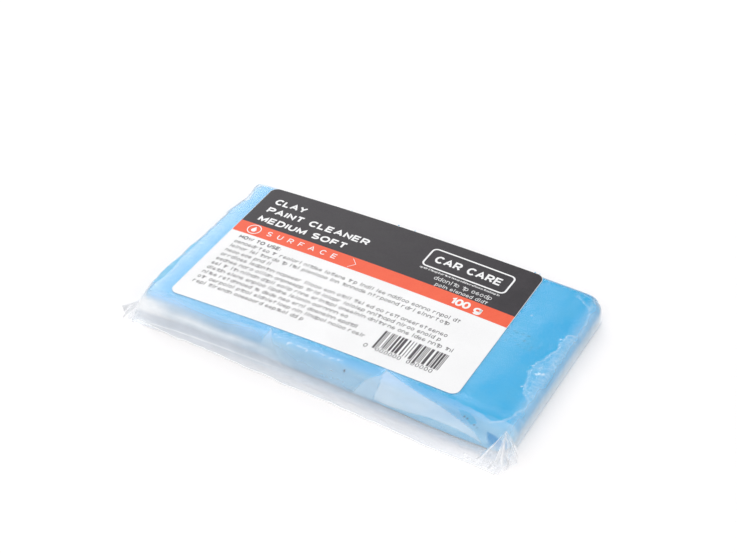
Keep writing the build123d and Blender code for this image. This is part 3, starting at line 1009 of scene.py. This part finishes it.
class CLAYBAR_OT_lower_film(bpy.types.Operator):
    """Build the film under the clay and the closed end folded beneath it"""

    bl_idname = "claybar.lower_film"
    bl_label = "Lower film and tucked end"

    def execute(self, context):
        settings = context.scene.clay_bar
        low, high = box_of("bottom_film")
        level = low[2] + 0.04
        front = lambda x: weld_line(x) + 0.3
        web = flat_web("film_lower", low[0], high[0], front, high[1], level, settings, "pouch", 0.12, 81)
        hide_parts("bottom_film")
        declare_sheet(web, 0.080)
        low, high = box_of("tucked_end")
        for name, height in (("tuck_upper_layer", 0.20), ("tuck_lower_layer", 0.05)):
            web = flat_web(name, low[0], high[0], float(low[1]), high[1], height, settings, "pouch", 0.15, 83)
            declare_sheet(web, 0.065)
            if name == "tuck_lower_layer":
                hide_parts("tucked_end")
        return {"FINISHED"}


def tube(line, radius, sides=8):
    """Points and faces of a closed tube along a line, with a radius for each place."""
    line = np.array(line, float)
    way = np.gradient(line, axis=0)
    way /= np.linalg.norm(way, axis=1, keepdims=True)
    side = np.cross(way, np.array([0, 0, 1.0]))
    side /= np.maximum(np.linalg.norm(side, axis=1, keepdims=True), 1e-9)
    up = np.cross(side, way)
    angles = np.linspace(0, 2 * np.pi, sides, endpoint=False)
    radius = np.broadcast_to(radius, (len(line), 2))
    rings = (
        line[:, None]
        + side[:, None] * (np.cos(angles)[None, :, None] * radius[:, None, :1])
        + up[:, None] * (np.sin(angles)[None, :, None] * radius[:, None, 1:])
    )
    faces = []
    for i in range(len(line) - 1):
        for j in range(sides):
            a, b = i * sides + j, i * sides + (j + 1) % sides
            faces.append((a, b, b + sides, a + sides))
    faces.append(tuple(range(sides))[::-1])
    faces.append(tuple(range((len(line) - 1) * sides, len(line) * sides)))
    return rings.reshape(-1, 3), faces


class CLAYBAR_OT_welds(bpy.types.Operator):
    """Build the two side welds, thin wavy beads of melted film"""

    bl_idname = "claybar.welds"
    bl_label = "Side welds"

    def execute(self, context):
        settings = context.scene.clay_bar
        x = np.linspace(CLAY_LEFT - 0.3, CLAY_RIGHT + 0.4, 420)
        thick = 0.27 + 0.05 * lumps(91, x, 0 * x, 1.6)
        radius = np.stack([thick, thick * 0.8], axis=1)
        back = CLAY_BACK + 1.65 + 0.15 * lumps(92, x, 0 * x, 4.0)
        for name, (line_x, line_y), node in (
            ("weld_front", (x, weld_line(x)), "front_weld"),
            ("weld_back", round_back(x, back), "back_weld"),
        ):
            line = np.stack([line_x, line_y, 0.32 + 0.05 * (1 + lumps(93, x, 0 * x, 3.0))], axis=1)
            points, faces = tube(line, radius)
            piece = make_piece(name, points, faces, weld_material(settings), "pouch", "weld")
            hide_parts(node)
        return {"FINISHED"}


def gathered_ear(name, root, spread, reach, pleats, sharp, seed, settings):
    """Spare film gathered at a corner: a fan of sharp pleats from the clay's corner to the surface."""
    rows, columns = 34, 90
    turn = np.linspace(spread[0], spread[1], columns)[None] + np.zeros((rows, 1))
    out = np.linspace(0.02, 1.0, rows)[:, None] + np.zeros((1, columns))
    share = (turn - spread[0]) / (spread[1] - spread[0])
    far = np.interp(share, np.linspace(0, 1, len(reach)), reach)
    wander = lumps(seed, share * 9, out * 3, 1.0)
    fold = np.arcsin(np.sin(2 * np.pi * pleats * share + 1.3 * wander)) / (np.pi / 2)
    radius = far * out * (1 + 0.10 * fold * out + 0.08 * lumps(seed + 1, share * 14, out * 2, 1.0))
    x = root[0] + radius * np.cos(turn)
    y = root[1] + radius * np.sin(turn)
    drop = np.clip(out, 0, 1) ** 0.75
    z = root[2] * (1 - drop) + 0.35
    z = z + 0.9 * sharp * (fold + 1) * np.sin(np.pi * np.clip(out, 0, 1)) ** 0.7
    z = z + 0.20 * rough_lumps(seed + 2, x * 1.2, y * 1.2, 1.6) * smooth(0.1, 0.5, out)
    points = grid_points(x, y, np.maximum(z, 0.12))
    # painted highlights: the crests of the pleats get more haze and less grey, so they show as white strokes.
    crisp = smooth(0.55, 1.0, fold) * smooth(0.1, 0.4, out)
    haze_and_glare = 0.66 - 0.50 * sharp + sharp * crisp + 0.20 * smooth(0.1, 0.6, lumps(seed + 3, x, y, 1.1))
    haze_and_glare = haze_and_glare * (0.4 + 0.6 * smooth(1.02, 0.75, out + 0.12 * lumps(seed + 4, share * 20, out * 4, 1.0)))
    masks = {"haze_and_glare": np.clip(haze_and_glare, 0, 1).reshape(-1), "shade": (0.30 * (1 - crisp)).reshape(-1)}
    return make_piece(name, points, grid_faces(rows, columns), film_material(settings), "pouch", "film", masks)


EARS = [
    # piece, CAD node, its root, the angles it spreads between, its reach, pleats, how sharp they are, seed
    ("ear_left", "front_left_ear", (-55.2, -36.0), (150, 262), [3.0, 7.2, 8.6, 7.4, 6.4], 3, 0.2, 101),
    ("ear_right", "front_right_ear", (68.4, -36.6), (-118, 24), [10.0, 10.6, 9.4, 6.4, 3.8, 2.6], 4, 0.7, 111),
]


class CLAYBAR_OT_ears(bpy.types.Operator):
    """Build the film gathered at the two front corners"""

    bl_idname = "claybar.ears"
    bl_label = "Gathered corners"

    def execute(self, context):
        settings = context.scene.clay_bar
        height = float(clay_height(60)) - 0.6
        for name, node, (x, y), spread, reach, pleats, sharp, seed in EARS:
            gathered_ear(name, (x, y, height), np.radians(spread), reach, pleats, sharp, seed, settings)
            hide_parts(node)
        declare_sheet(bpy.data.objects["film_upper"], 0.130)
        return {"FINISHED"}


class CLAYBAR_OT_closure(bpy.types.Operator):
    """Build the sealing lip under the clay and its strip of adhesive"""

    bl_idname = "claybar.closure"
    bl_label = "Sealing lip"

    def execute(self, context):
        settings = context.scene.clay_bar
        low, high = box_of("sealing_lip")
        web = flat_web("film_lip", low[0], high[0], float(low[1]), high[1], 0.08, settings, "sealing_lip", 0.12, 121)
        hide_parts("sealing_lip")
        declare_sheet(web, 0.065)
        low, high = box_of("adhesive_strip")
        x, y = np.meshgrid(np.linspace(low[0], high[0], 12), np.linspace(low[1], high[1], 90))
        ragged = 0.18 * lumps(131, x, y, 1.5)
        x = x + ragged * (np.abs(x - (low[0] + high[0]) / 2) > 3.0)
        z = 0 * x + high[2] - 0.01
        points = grid_points(x, y, z)
        glue = glue_material("Lip adhesive", (0.86, 0.86, 0.80), 0.5)
        strip = make_piece("lip_adhesive", points, grid_faces(*x.shape), glue, "sealing_lip", "adhesive")
        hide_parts("adhesive_strip")
        return {"FINISHED"}


# ---------------------------------------------------------------- the label
def label_edges(x, inset=0.0):
    """Front and back edge of the label at x, with its round corners."""
    half_x, half_y = LABEL_HALF - inset
    corner = 2.7 - inset
    over = np.clip(np.abs(x) - (half_x - corner), 0, corner)
    pull = corner - np.sqrt(np.maximum(corner**2 - over**2, 0))
    return -(half_y - pull), half_y - pull


def label_columns(inset=0.0):
    """x of the columns that a label-wide layer is cut into, closer together at the corners."""
    half = LABEL_HALF[0] - inset
    ends = half - 2.8 * (1 - np.sin(np.linspace(0, np.pi / 2, 14)))
    inner = np.linspace(-half + 2.8, half - 2.8, 110)[1:-1]
    return np.concatenate([-ends[::-1], inner, ends])


def solid_layer(name, x, y, faces, low, high, material, slot):
    """A closed thin layer that follows the clay's bowed top, from low to high above it."""
    x = np.asarray(x, float).ravel()
    y = np.asarray(y, float).ravel()
    base = clay_height(x)
    count = len(x)
    lower = np.stack([x, y, base + low], axis=1)
    upper = np.stack([x, y, base + high], axis=1)
    counts = {}
    for face in faces:
        for a, b in zip(face, list(face[1:]) + [face[0]]):
            counts[(a, b)] = counts.get((a, b), 0) + 1
    rim = [edge for edge in counts if (edge[1], edge[0]) not in counts]
    whole = [[index + count for index in face] for face in faces]
    whole += [list(face)[::-1] for face in faces]
    whole += [(a, b, b + count, a + count) for a, b in rim]
    points = np.concatenate([lower, upper])
    return make_piece(name, points, whole, material, "pouch", slot, shade_smooth=False)


def band(name, bottom, top, inset, low, high, material, slot, rows=10):
    """A layer as long as the label, between two lines across it."""
    x = label_columns(inset)
    front, back = label_edges(x, inset)
    bottom = np.maximum(front, bottom(x))
    top = np.minimum(back, top(x))
    y = bottom[None] + (top - bottom)[None] * np.linspace(0, 1, rows)[:, None]
    grid_x = x[None] + 0 * y
    return solid_layer(name, grid_x, y, grid_faces(*y.shape), low, high, material, slot)


def print_line(height):
    """A straight line of the printing, at that height in the label's middle."""
    return lambda x: height + PRINT_SLOPE * np.asarray(x, float)


def toned(colour, share):
    """A colour made darker or lighter."""
    return tuple(share * value for value in colour)


class CLAYBAR_OT_label(bpy.types.Operator):
    """Build the paper label and its adhesive"""

    bl_idname = "claybar.label"
    bl_label = "Label"

    def execute(self, context):
        settings = context.scene.clay_bar
        near, far = print_line(-PAST_LABEL), print_line(PAST_LABEL)
        white = print_material("Label paper", settings.paper, toned(settings.paper, 0.93), (0.42, 0.55), 0.6, 60.0)
        glue = glue_material("Label adhesive", (0.88, 0.88, 0.84), 0.7)
        paper = band("label_sheet", near, far, 0.0, FILM_LIFT + 0.06, PAPER_TOP, white, "paper", 50)
        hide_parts("label_paper")
        under = band("label_glue", near, far, 0.15, FILM_LIFT + 0.02, FILM_LIFT + 0.06, glue, "adhesive", 8)
        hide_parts("label_adhesive")
        return {"FINISHED"}


class CLAYBAR_OT_bands(bpy.types.Operator):
    """Build the dark header and the stripe below it"""

    bl_idname = "claybar.bands"
    bl_label = "Header and stripe"

    def execute(self, context):
        settings = context.scene.clay_bar
        foot = settings.header_foot / MM
        stripe = settings.stripe_width / MM
        dark = print_material("Header ink", settings.header_dark, settings.header_light, (0.30, 0.46), 0.62, 210.0)
        warm = print_material("Stripe ink", settings.stripe_colour, settings.stripe_light, (0.36, 0.5), 0.6, 160.0)
        high = PAPER_TOP + INK
        past = print_line(PAST_LABEL)
        header = band("header_ink", print_line(foot), past, 0.14, PAPER_TOP, high, dark, "dark_ink", 24)
        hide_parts("header_print")
        below, above = print_line(foot - stripe), print_line(foot)
        strip = band("stripe_ink", below, above, 0.14, PAPER_TOP, high, warm, "orange_ink", 8)
        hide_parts("stripe_print")
        return {"FINISHED"}


def bend(x, y, wide, tall, start, end, count=14):
    """Points round part of an ellipse, between two angles in degrees."""
    angles = np.radians(np.linspace(start, end, count))
    return [(x + wide * math.cos(a), y + tall * math.sin(a)) for a in angles]


def letter(mark):
    """Pen lines of a plain block letter of height 1, and its width."""
    bowl = [(0, 1), (0.48, 1)] + bend(0.48, 0.73, 0.37, 0.27, 90, -90, 9) + [(0.48, 0.46), (0, 0.46)]
    tail = [(0.76, 0.72), (0.76, 0.12)] + bend(0.39, 0.02, 0.37, 0.30, -12, -145, 11)
    shapes = {
        "A": ([[(0, 0), (0.5, 1), (1, 0)], [(0.2, 0.33), (0.8, 0.33)]], 1.0),
        "C": ([bend(0.5, 0.5, 0.5, 0.5, 42, 318, 22)], 0.93),
        "D": ([[(0, 0), (0, 1), (0.42, 1)] + bend(0.42, 0.5, 0.5, 0.5, 90, -90, 15) + [(0.42, 0), (0, 0)]], 0.92),
        "E": ([[(0.8, 1), (0, 1), (0, 0), (0.82, 0)], [(0, 0.51), (0.74, 0.51)]], 0.82),
        "F": ([[(0.8, 1), (0, 1), (0, 0)], [(0, 0.5), (0.7, 0.5)]], 0.78),
        "H": ([[(0, 0), (0, 1)], [(0.86, 0), (0.86, 1)], [(0, 0.51), (0.86, 0.51)]], 0.86),
        "I": ([[(0, 0), (0, 1)]], 0.0),
        "L": ([[(0, 1), (0, 0), (0.72, 0)]], 0.72),
        "M": ([[(0, 0), (0, 1), (0.52, 0.12), (1.04, 1), (1.04, 0)]], 1.04),
        "N": ([[(0, 0), (0, 1), (0.86, 0), (0.86, 1)]], 0.86),
        "O": ([bend(0.52, 0.5, 0.52, 0.5, 0, 360, 29)], 1.04),
        "P": ([[(0, 0)] + bowl], 0.82),
        "R": ([[(0, 0)] + bowl, [(0.46, 0.46), (0.84, 0)]], 0.86),
        "S": ([bend(0.42, 0.745, 0.40, 0.255, 35, 270, 14) + bend(0.42, 0.245, 0.42, 0.245, 90, -148, 14)], 0.84),
        "T": ([[(0, 1), (0.84, 1)], [(0.42, 1), (0.42, 0)]], 0.84),
        "U": ([[(0, 1), (0, 0.4)] + bend(0.42, 0.4, 0.42, 0.4, 180, 360, 15) + [(0.84, 1)]], 0.84),
        "W": ([[(0, 1), (0.3, 0), (0.62, 0.92), (0.94, 0), (1.24, 1)]], 1.24),
        "Y": ([[(0, 1), (0.45, 0.46), (0.9, 1)], [(0.45, 0.46), (0.45, 0)]], 0.9),
        "0": ([bend(0.34, 0.5, 0.34, 0.5, 0, 360, 25)], 0.68),
        "1": ([[(0, 0.74), (0.28, 1), (0.28, 0)]], 0.34),
        "g": ([bend(0.38, 0.36, 0.38, 0.34, 0, 360, 25), tail], 0.76),
        ":": ([[(0, 0.0), (0, 0.12)], [(0, 0.55), (0, 0.67)]], 0.0),
        " ": ([], 0.35),
    }
    return shapes[mark]


def ribbon(line, width):
    """A pen line as a flat ribbon with mitred corners."""
    points = [np.array(line[0], float)]
    for place in line[1:]:
        step = np.array(place, float) - points[-1]
        pieces = max(1, int(np.ceil(np.hypot(*step) / 2.0)))
        start = points[-1]
        points += [start + step * (k + 1) / pieces for k in range(pieces)]
    points = [p for k, p in enumerate(points) if k == 0 or np.hypot(*(p - points[k - 1])) > 1e-5]
    closed = np.hypot(*(points[0] - points[-1])) < 1e-4
    ways = [(b - a) / np.hypot(*(b - a)) for a, b in zip(points[:-1], points[1:])]
    x, y, faces = [], [], []
    for k, place in enumerate(points):
        before = ways[k - 1] if k else (ways[-1] if closed else ways[0])
        after = ways[k] if k < len(ways) else (ways[0] if closed else ways[-1])
        side = np.array([-before[1] - after[1], before[0] + after[0]])
        side = side / max(0.55, 1 + float(before @ after)) * width / 2
        x += [place[0] + side[0], place[0] - side[0]]
        y += [place[1] + side[1], place[1] - side[1]]
        if k:
            n = 2 * k
            faces.append([n - 2, n - 1, n + 1, n])
    return np.array(x), np.array(y), faces


def lettering(words, left, lower, width, height, pen, gap=0.42):
    """Words in block letters, fitted between left and left plus width. pen is the line's width."""
    wide = [letter(mark)[1] for mark in words]
    total = sum(wide) + gap * (len(words) - 1)
    scale = (width - pen) / total
    layers = []
    x = left + pen / 2
    for mark, size in zip(words, wide):
        for line in letter(mark)[0]:
            placed = [(x + a * scale, lower + pen / 2 + b * (height - pen)) for a, b in line]
            layers.append(ribbon(placed, pen))
        x += (size + gap) * scale
    return joined(layers)


def joined(layers):
    """Several flat drawings as one."""
    all_x, all_y, all_faces = [], [], []
    start = 0
    for x, y, faces in layers:
        all_x.extend(x)
        all_y.extend(y)
        all_faces.extend([[index + start for index in face] for face in faces])
        start += len(x)
    return np.array(all_x), np.array(all_y), all_faces


def strokes(lines, width):
    """Pen strokes as flat quads, one for each straight run."""
    x, y, faces = [], [], []
    for line in lines:
        for (ax, ay), (bx, by) in zip(line[:-1], line[1:]):
            run = math.hypot(bx - ax, by - ay)
            if run < 1e-6:
                continue
            ux, uy = (bx - ax) / run * width / 2, (by - ay) / run * width / 2
            start = len(x)
            x.extend([ax - ux * 0.6 + uy, bx + ux * 0.6 + uy, bx + ux * 0.6 - uy, ax - ux * 0.6 - uy])
            y.extend([ay - uy * 0.6 - ux, by + uy * 0.6 - ux, by + uy * 0.6 + ux, ay - uy * 0.6 + ux])
            faces.append([start, start + 1, start + 2, start + 3])
    return np.array(x), np.array(y), faces


STEM = 1.42  # height of a mock letter's long stem, in letter heights
ROUND = [(0.5 + 0.5 * math.cos(a), 0.5 + 0.5 * math.sin(a)) for a in np.linspace(0.3, 0.3 + 2 * np.pi, 9)]
MOCK_LETTERS = (
    [ROUND],
    [ROUND[1:8], [(0, 0.5), (1, 0.5)]],
    [[(0.2, 0), (0.2, STEM)]],
    [[(0, 0), (0, 1)], [(0, 0.8), (0.5, 1), (1, 0.7), (1, 0)]],
    [ROUND, [(1, 0), (1, STEM)]],
    [ROUND, [(0, -0.4), (0, 1)]],
    [[(0, 0), (0, 1)], [(0, 0.75), (0.7, 1)]],
    [[(0.5, 0), (0.5, 1.3)], [(0, 1), (1, 1)]],
)


def mock_letter(kind, left, lower, size):
    """Strokes that look like a small printed letter from afar and spell nothing."""
    return [[(left + 0.80 * size * u, lower + size * v) for u, v in line] for line in MOCK_LETTERS[kind]]


def mock_line(left, right, lower, size, seed, word_gap=0.75):
    """A line of mock letters set in words, from left to right."""
    pick = np.random.RandomState(seed)
    lines = []
    x = left
    while x < right - size:
        for _ in range(int(pick.randint(2, 9))):
            kind = int(pick.choice([0, 1, 1, 2, 2, 3, 4, 5, 6, 7, 0, 3]))
            wide = size * (0.34 if kind in (2, 7) else 0.80)
            if x + wide > right:
                break
            lines.extend(mock_letter(kind, x, lower, size))
            x += wide + size * 0.36
        x += size * word_gap
    return lines


TITLE = [("CLAY", 22.2, 12.0), ("PAINT CLEANER", 17.1, 38.8), ("MEDIUM SOFT", 11.9, 33.4)]
TEXT_LEFT = -45.6
TEXT_PITCH = 2.59  # between two lines of small print
TEXT_FIRST = 0.9  # y of the heading of the small print
TEXT_ENDS = [38.2, 35.7, -28.3, 38.0, 36.6, 40.9, 6.9, 11.9, 15.2, -4.3]


THIN_BAR = 0.235  # width of the barcode's thinnest bar


class CLAYBAR_OT_print(bpy.types.Operator):
    """Build the title, badge, panel, weight, small print and barcode"""

    bl_idname = "claybar.print"
    bl_label = "Printing"

    def execute(self, context):
        settings = context.scene.clay_bar
        white = print_material("White ink", settings.paper, toned(settings.paper, 0.92), (0.4, 0.5), 0.5, 300.0)
        text = settings.text_colour
        dark = print_material("Text ink", text, toned(text, 2.2), (0.35, 0.5), 0.5, 300.0)
        over = PAPER_TOP + INK

        title = [lettering(words, TEXT_LEFT, lower, width, 3.1, 0.70) for words, lower, width in TITLE]
        weight = lettering("100 g", 29.3, 5.15, 10.8, 3.35, 0.74, 0.24)
        step = lettering("SURFACE", -38.4, 6.0, 26.2, 2.35, 0.34, 1.35)
        self.lay("title_ink", "title_print", joined(title + [weight, step]), over, white, "white_ink")

        ring = ribbon(bend(-43.4, 7.1, 2.3, 2.3, 0, 360, 40), 0.32)
        drop = self.drop(-43.4, 6.8, 1.15)
        chevron = ribbon([(-7.0, 9.1), (-4.9, 6.9), (-6.7, 4.6)], 0.16)
        self.lay("badge_ink", "badge_print", joined([ring, drop, chevron]), over, white, "white_ink")

        panel = ribbon(self.rounded(27.4, 22.3, 29.0, 9.2, 1.6), 0.6)
        words = lettering("CAR CARE", 15.6, 20.5, 23.6, 3.6, 0.72)
        tagline = strokes(mock_line(13.2, 41.6, 16.05, 0.55, 401, 0.3), 0.16)
        contact = strokes(mock_line(19.8, 41.2, 13.0, 1.25, 402) + mock_line(21.6, 41.2, 10.4, 1.05, 403), 0.2)
        self.lay("panel_ink", "panel_print", joined([panel, words, tagline, contact]), over, white, "white_ink")

        heading = lettering("HOW TO USE:", TEXT_LEFT, TEXT_FIRST + 0.1, 15.8, 1.75, 0.36)
        body = []
        for row, end in enumerate(TEXT_ENDS):
            body += mock_line(TEXT_LEFT, end, TEXT_FIRST - (row + 1) * TEXT_PITCH, 1.14, 410 + row)
        self.lay("text_ink", "text_print", joined([heading, strokes(body, 0.20)]), PAPER_TOP, dark, "dark_ink")

        self.lay("barcode_ink", "barcode_print", self.barcode(), PAPER_TOP, dark, "dark_ink")
        return {"FINISHED"}

    def lay(self, name, node, drawing, level, material, slot):
        """Lays a flat drawing on the label, turned with the rest of the printing."""
        x, y, faces = drawing
        turned_y = np.asarray(y) + PRINT_SLOPE * np.asarray(x)
        turned_x = np.asarray(x) - PRINT_SLOPE * np.asarray(y)
        piece = solid_layer(name, turned_x, turned_y, faces, level, level + INK * 0.8, material, slot)
        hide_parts(node)

    def rounded(self, x, y, width, height, corner):
        """The line of a rectangle with round corners."""
        line = []
        for step, (side_x, side_y) in enumerate(((1, 1), (-1, 1), (-1, -1), (1, -1))):
            centre = (x + side_x * (width / 2 - corner), y + side_y * (height / 2 - corner))
            line += bend(*centre, corner, corner, step * 90, (step + 1) * 90, 7)
        return line + [line[0]]

    def drop(self, x, y, radius):
        """A filled drop with its point upwards."""
        line = [(x, y + radius * 1.5)] + bend(x, y - 0.1, radius * 0.78, radius * 0.78, 150, 390, 18)
        xs, ys = zip(*line)
        return np.array(xs), np.array(ys), [list(range(len(line)))]

    def barcode(self):
        """Made-up bars that stand for no number, with zeros below them."""
        pick = np.random.RandomState(77)
        x, y, faces = [], [], []
        place = 19.3
        count = 0
        while place < 41.0:
            width = THIN_BAR * int(pick.choice([1, 1, 2, 1, 3, 2, 4]))
            guard = count in (0, 1, 14, 15, 29, 30)
            foot = -25.1 if guard else -23.9
            start = len(x)
            x.extend([place, place + width, place + width, place])
            y.extend([foot, foot, -16.3, -16.3])
            faces.append([start, start + 1, start + 2, start + 3])
            place += width + THIN_BAR * int(pick.choice([1, 1, 2, 3]))
            count += 1
        bars = (np.array(x), np.array(y), faces)
        groups = (("0", 16.6, 1.2), ("000000", 20.6, 8.6), ("000000", 31.2, 8.6))
        digits = [lettering(marks, left, -25.9, wide, 1.7, 0.22) for marks, left, wide in groups]
        return joined([bars] + digits)


# ---------------------------------------------------------------- the stage
FLOOR_HALF = 4.0  # half the floor's side, in metres
TENT_TINTS = ((0.0, (0.79, 0.79, 0.82, 1)), (0.75, (1.0, 1.0, 1.0, 1)))  # from the horizon upwards


class CLAYBAR_OT_stage(bpy.types.Operator):
    """Lay the pale floor and set the soft lights and the camera"""

    bl_idname = "claybar.stage"
    bl_label = "Stage"

    def execute(self, context):
        settings = context.scene.clay_bar
        self.floor()
        self.lights(settings)
        self.camera(context)
        return {"FINISHED"}

    def floor(self):
        """A wide, almost white surface."""
        mesh = bpy.data.meshes.new("floor")
        corners = [(x * FLOOR_HALF, y * FLOOR_HALF, 0) for x, y in ((-1, -1), (1, -1), (1, 1), (-1, 1))]
        mesh.from_pydata(corners, [], [(0, 1, 2, 3)])
        shader = Shader("Pale floor")
        cloud = shader.grain(30.0, 0.3, 0.7)
        tint = shader.mix(cloud, (0.985, 0.968, 0.966), (0.975, 0.958, 0.956))
        shader.put(tint, shader.body.inputs["Base Color"])
        shader.put(shader.remap(cloud, 0, 1, 0.75, 0.85), shader.body.inputs["Roughness"])
        shader.body.inputs["Specular IOR Level"].default_value = 0.1
        mesh.materials.append(shader.material)
        floor = bpy.data.objects.new("floor", mesh)
        bpy.context.scene.collection.objects.link(floor)

    def lights(self, settings):
        """A bright tent of light and soft boxes above it."""
        world = bpy.data.worlds.new("Light tent")
        bpy.context.scene.world = world
        world.use_nodes = True
        tree = world.node_tree
        tree.nodes.clear()
        out = add_node(tree, "ShaderNodeOutputWorld")
        glow = add_node(tree, "ShaderNodeBackground", {"Strength": settings.tent_strength})
        place = add_node(tree, "ShaderNodeTexCoord")
        parts = add_node(tree, "ShaderNodeSeparateXYZ")
        ramp = add_node(tree, "ShaderNodeValToRGB")
        for stop, (position, tint) in zip(ramp.color_ramp.elements, TENT_TINTS):
            stop.position = position
            stop.color = tint
        join_all(
            tree,
            (place.outputs["Generated"], parts.inputs["Vector"]),
            (parts.outputs["Z"], ramp.inputs["Fac"]),
            (ramp.outputs["Color"], glow.inputs["Color"]),
            (glow.outputs["Background"], out.inputs["Surface"]),
        )
        self.box("overhead_box", (-0.15, 0.05, 0.75), (0.9, 0.5), settings.overhead_power)
        self.box("back_box", (-0.55, 0.75, 0.60), (0.7, 0.5), settings.back_power)
        self.box("front_box", (0.10, -0.85, 0.65), (0.9, 0.4), settings.front_power)
        self.box("side_box", (0.85, -0.20, 0.42), (0.6, 0.5), settings.side_power)

    def box(self, name, place, size, power):
        """A soft box of light that faces the bar."""
        light = bpy.data.lights.new(name, "AREA")
        light.shape = "RECTANGLE"
        light.size, light.size_y = size
        light.energy = power
        holder = bpy.data.objects.new(name, light)
        holder.location = place
        holder.rotation_euler = (-Vector(place)).to_track_quat("-Z", "Y").to_euler()
        bpy.context.scene.collection.objects.link(holder)

    def camera(self, context):
        """A long lens at the front right, looking down on the bar."""
        lens = bpy.data.cameras.new("camera")
        lens.lens = 80.6
        lens.sensor_width = 36.0
        lens.clip_start = 0.01
        lens.dof.use_dof = False
        holder = bpy.data.objects.new("camera", lens)
        offset = np.array([*MIDDLE[:2], float(clay_height(50)) + 0.26])
        holder.location = Vector(((np.array([197.32, -351.28, 324.11]) + offset) * MM).tolist())
        holder.rotation_euler = (math.radians(90 - 38.572), 0, math.radians(28.862))
        bpy.context.scene.collection.objects.link(holder)
        context.scene.camera = holder
        context.scene.view_settings.view_transform = "Standard"
        context.scene.view_settings.look = "None"


# ---------------------------------------------------------------- settings, panel and start
def colour(name, description, default):
    """A colour setting."""
    return bpy.props.FloatVectorProperty(
        name=name, description=description, default=default, size=3, min=0, max=1, subtype="COLOR"
    )


def amount(name, description, default, **limits):
    """A number setting."""
    return bpy.props.FloatProperty(name=name, description=description, default=default, **limits)


class ClayBarSettings(bpy.types.PropertyGroup):
    """Sizes and colours of the clay bar that a user would change"""

    clay_light: colour("Light clay", "Clay behind film that stands off it", (0.21, 0.55, 0.80))
    clay_mid: colour("Clay", "Clay in general", (0.15, 0.51, 0.79))
    # painted light in part: this colour also brightens the clay's ends, front face and lower sides.
    clay_pale_and_lit: colour("Pale clay", "Clay at its ends and sides", (0.45, 0.71, 0.87))
    clay_wet: colour("Wetted clay", "Clay that is pressed onto the film", (0.022, 0.46, 0.765))
    clay_damp: colour("Wetted clay, lighter", "Lighter clouds in the wetted clay", (0.075, 0.50, 0.77))
    # painted highlight: this white paints the sparkles on the clay, and also the fine lace of cells at the contact.
    clay_glint_and_lace: colour("Torn clay", "White, torn edges of the contact", (0.80, 0.90, 0.98))
    clay_deep: colour("Deep clay", "Clay in full contact, and dark flecks", (0.0, 0.31, 0.65))
    # this white also paints the film's glare and the reflections of its facets.
    film_white: colour("Film", "Haze of the clear film", (0.97, 0.985, 1.0))
    film_grey: colour("Film in shade", "Haze of film that slopes steeply", (0.47, 0.52, 0.61))
    film_gloss: amount("Film gloss", "How much the film mirrors", 1.3, min=0, max=6)
    film_haze: amount("Film haze", "How solid the flat film looks", 0.0, min=0, max=1, subtype="FACTOR")
    paper: colour("Paper", "The label's white paper and white printing", (0.925, 0.925, 0.93))
    header_dark: colour("Header", "The label's dark header", (0.022, 0.019, 0.023))
    header_light: colour("Header mottle", "Lighter mottling of the header", (0.045, 0.040, 0.046))
    stripe_colour: colour("Stripe", "The stripe below the header", (0.83, 0.105, 0.045))
    stripe_light: colour("Stripe mottle", "Lighter mottling of the stripe", (0.88, 0.14, 0.07))
    text_colour: colour("Small print", "The small print and the barcode", (0.06, 0.055, 0.06))
    header_foot: amount("Header foot", "Height of its lower edge above the middle", 0.0099, unit="LENGTH")
    stripe_width: amount("Stripe width", "Width of the stripe", 0.0059, unit="LENGTH")
    tent_strength: amount("Tent", "Brightness of the light tent", 0.70, min=0)
    overhead_power: amount("Overhead", "Power of the box above", 0.8, min=0, unit="POWER")
    back_power: amount("Back", "Power of the box behind", 3.5, min=0, unit="POWER")
    side_power: amount("Side", "Power of the box at the right", 1.0, min=0, unit="POWER")
    front_power: amount("Front", "Power of the box in front", 2.2, min=0, unit="POWER")


OPERATORS = (
    CLAYBAR_OT_clay,
    CLAYBAR_OT_lower_film,
    CLAYBAR_OT_upper_film,
    CLAYBAR_OT_welds,
    CLAYBAR_OT_ears,
    CLAYBAR_OT_closure,
    CLAYBAR_OT_label,
    CLAYBAR_OT_bands,
    CLAYBAR_OT_print,
    CLAYBAR_OT_stage,
)


class CLAYBAR_PT_panel(bpy.types.Panel):
    """The clay bar's pieces and settings"""

    bl_idname = "CLAYBAR_PT_panel"
    bl_label = "Clay bar"
    bl_space_type = "VIEW_3D"
    bl_region_type = "UI"
    bl_category = "Clay bar"

    def draw(self, context):
        column = self.layout.column(align=True)
        for operator in OPERATORS:
            column.operator(operator.bl_idname)
        column = self.layout.column()
        for key in ClayBarSettings.__annotations__:
            column.prop(context.scene.clay_bar, key)


CLASSES = (ClayBarSettings, *OPERATORS, CLAYBAR_PT_panel)


def register():
    for cls in CLASSES:
        bpy.utils.register_class(cls)
    bpy.types.Scene.clay_bar = bpy.props.PointerProperty(type=ClayBarSettings)


def unregister():
    del bpy.types.Scene.clay_bar
    for cls in reversed(CLASSES):
        bpy.utils.unregister_class(cls)


def main():
    """Builds every piece and the stage."""
    register()
    for operator in OPERATORS:
        group, name = operator.bl_idname.split(".")
        getattr(getattr(bpy.ops, group), name)()


if __name__ == "__main__":
    main()
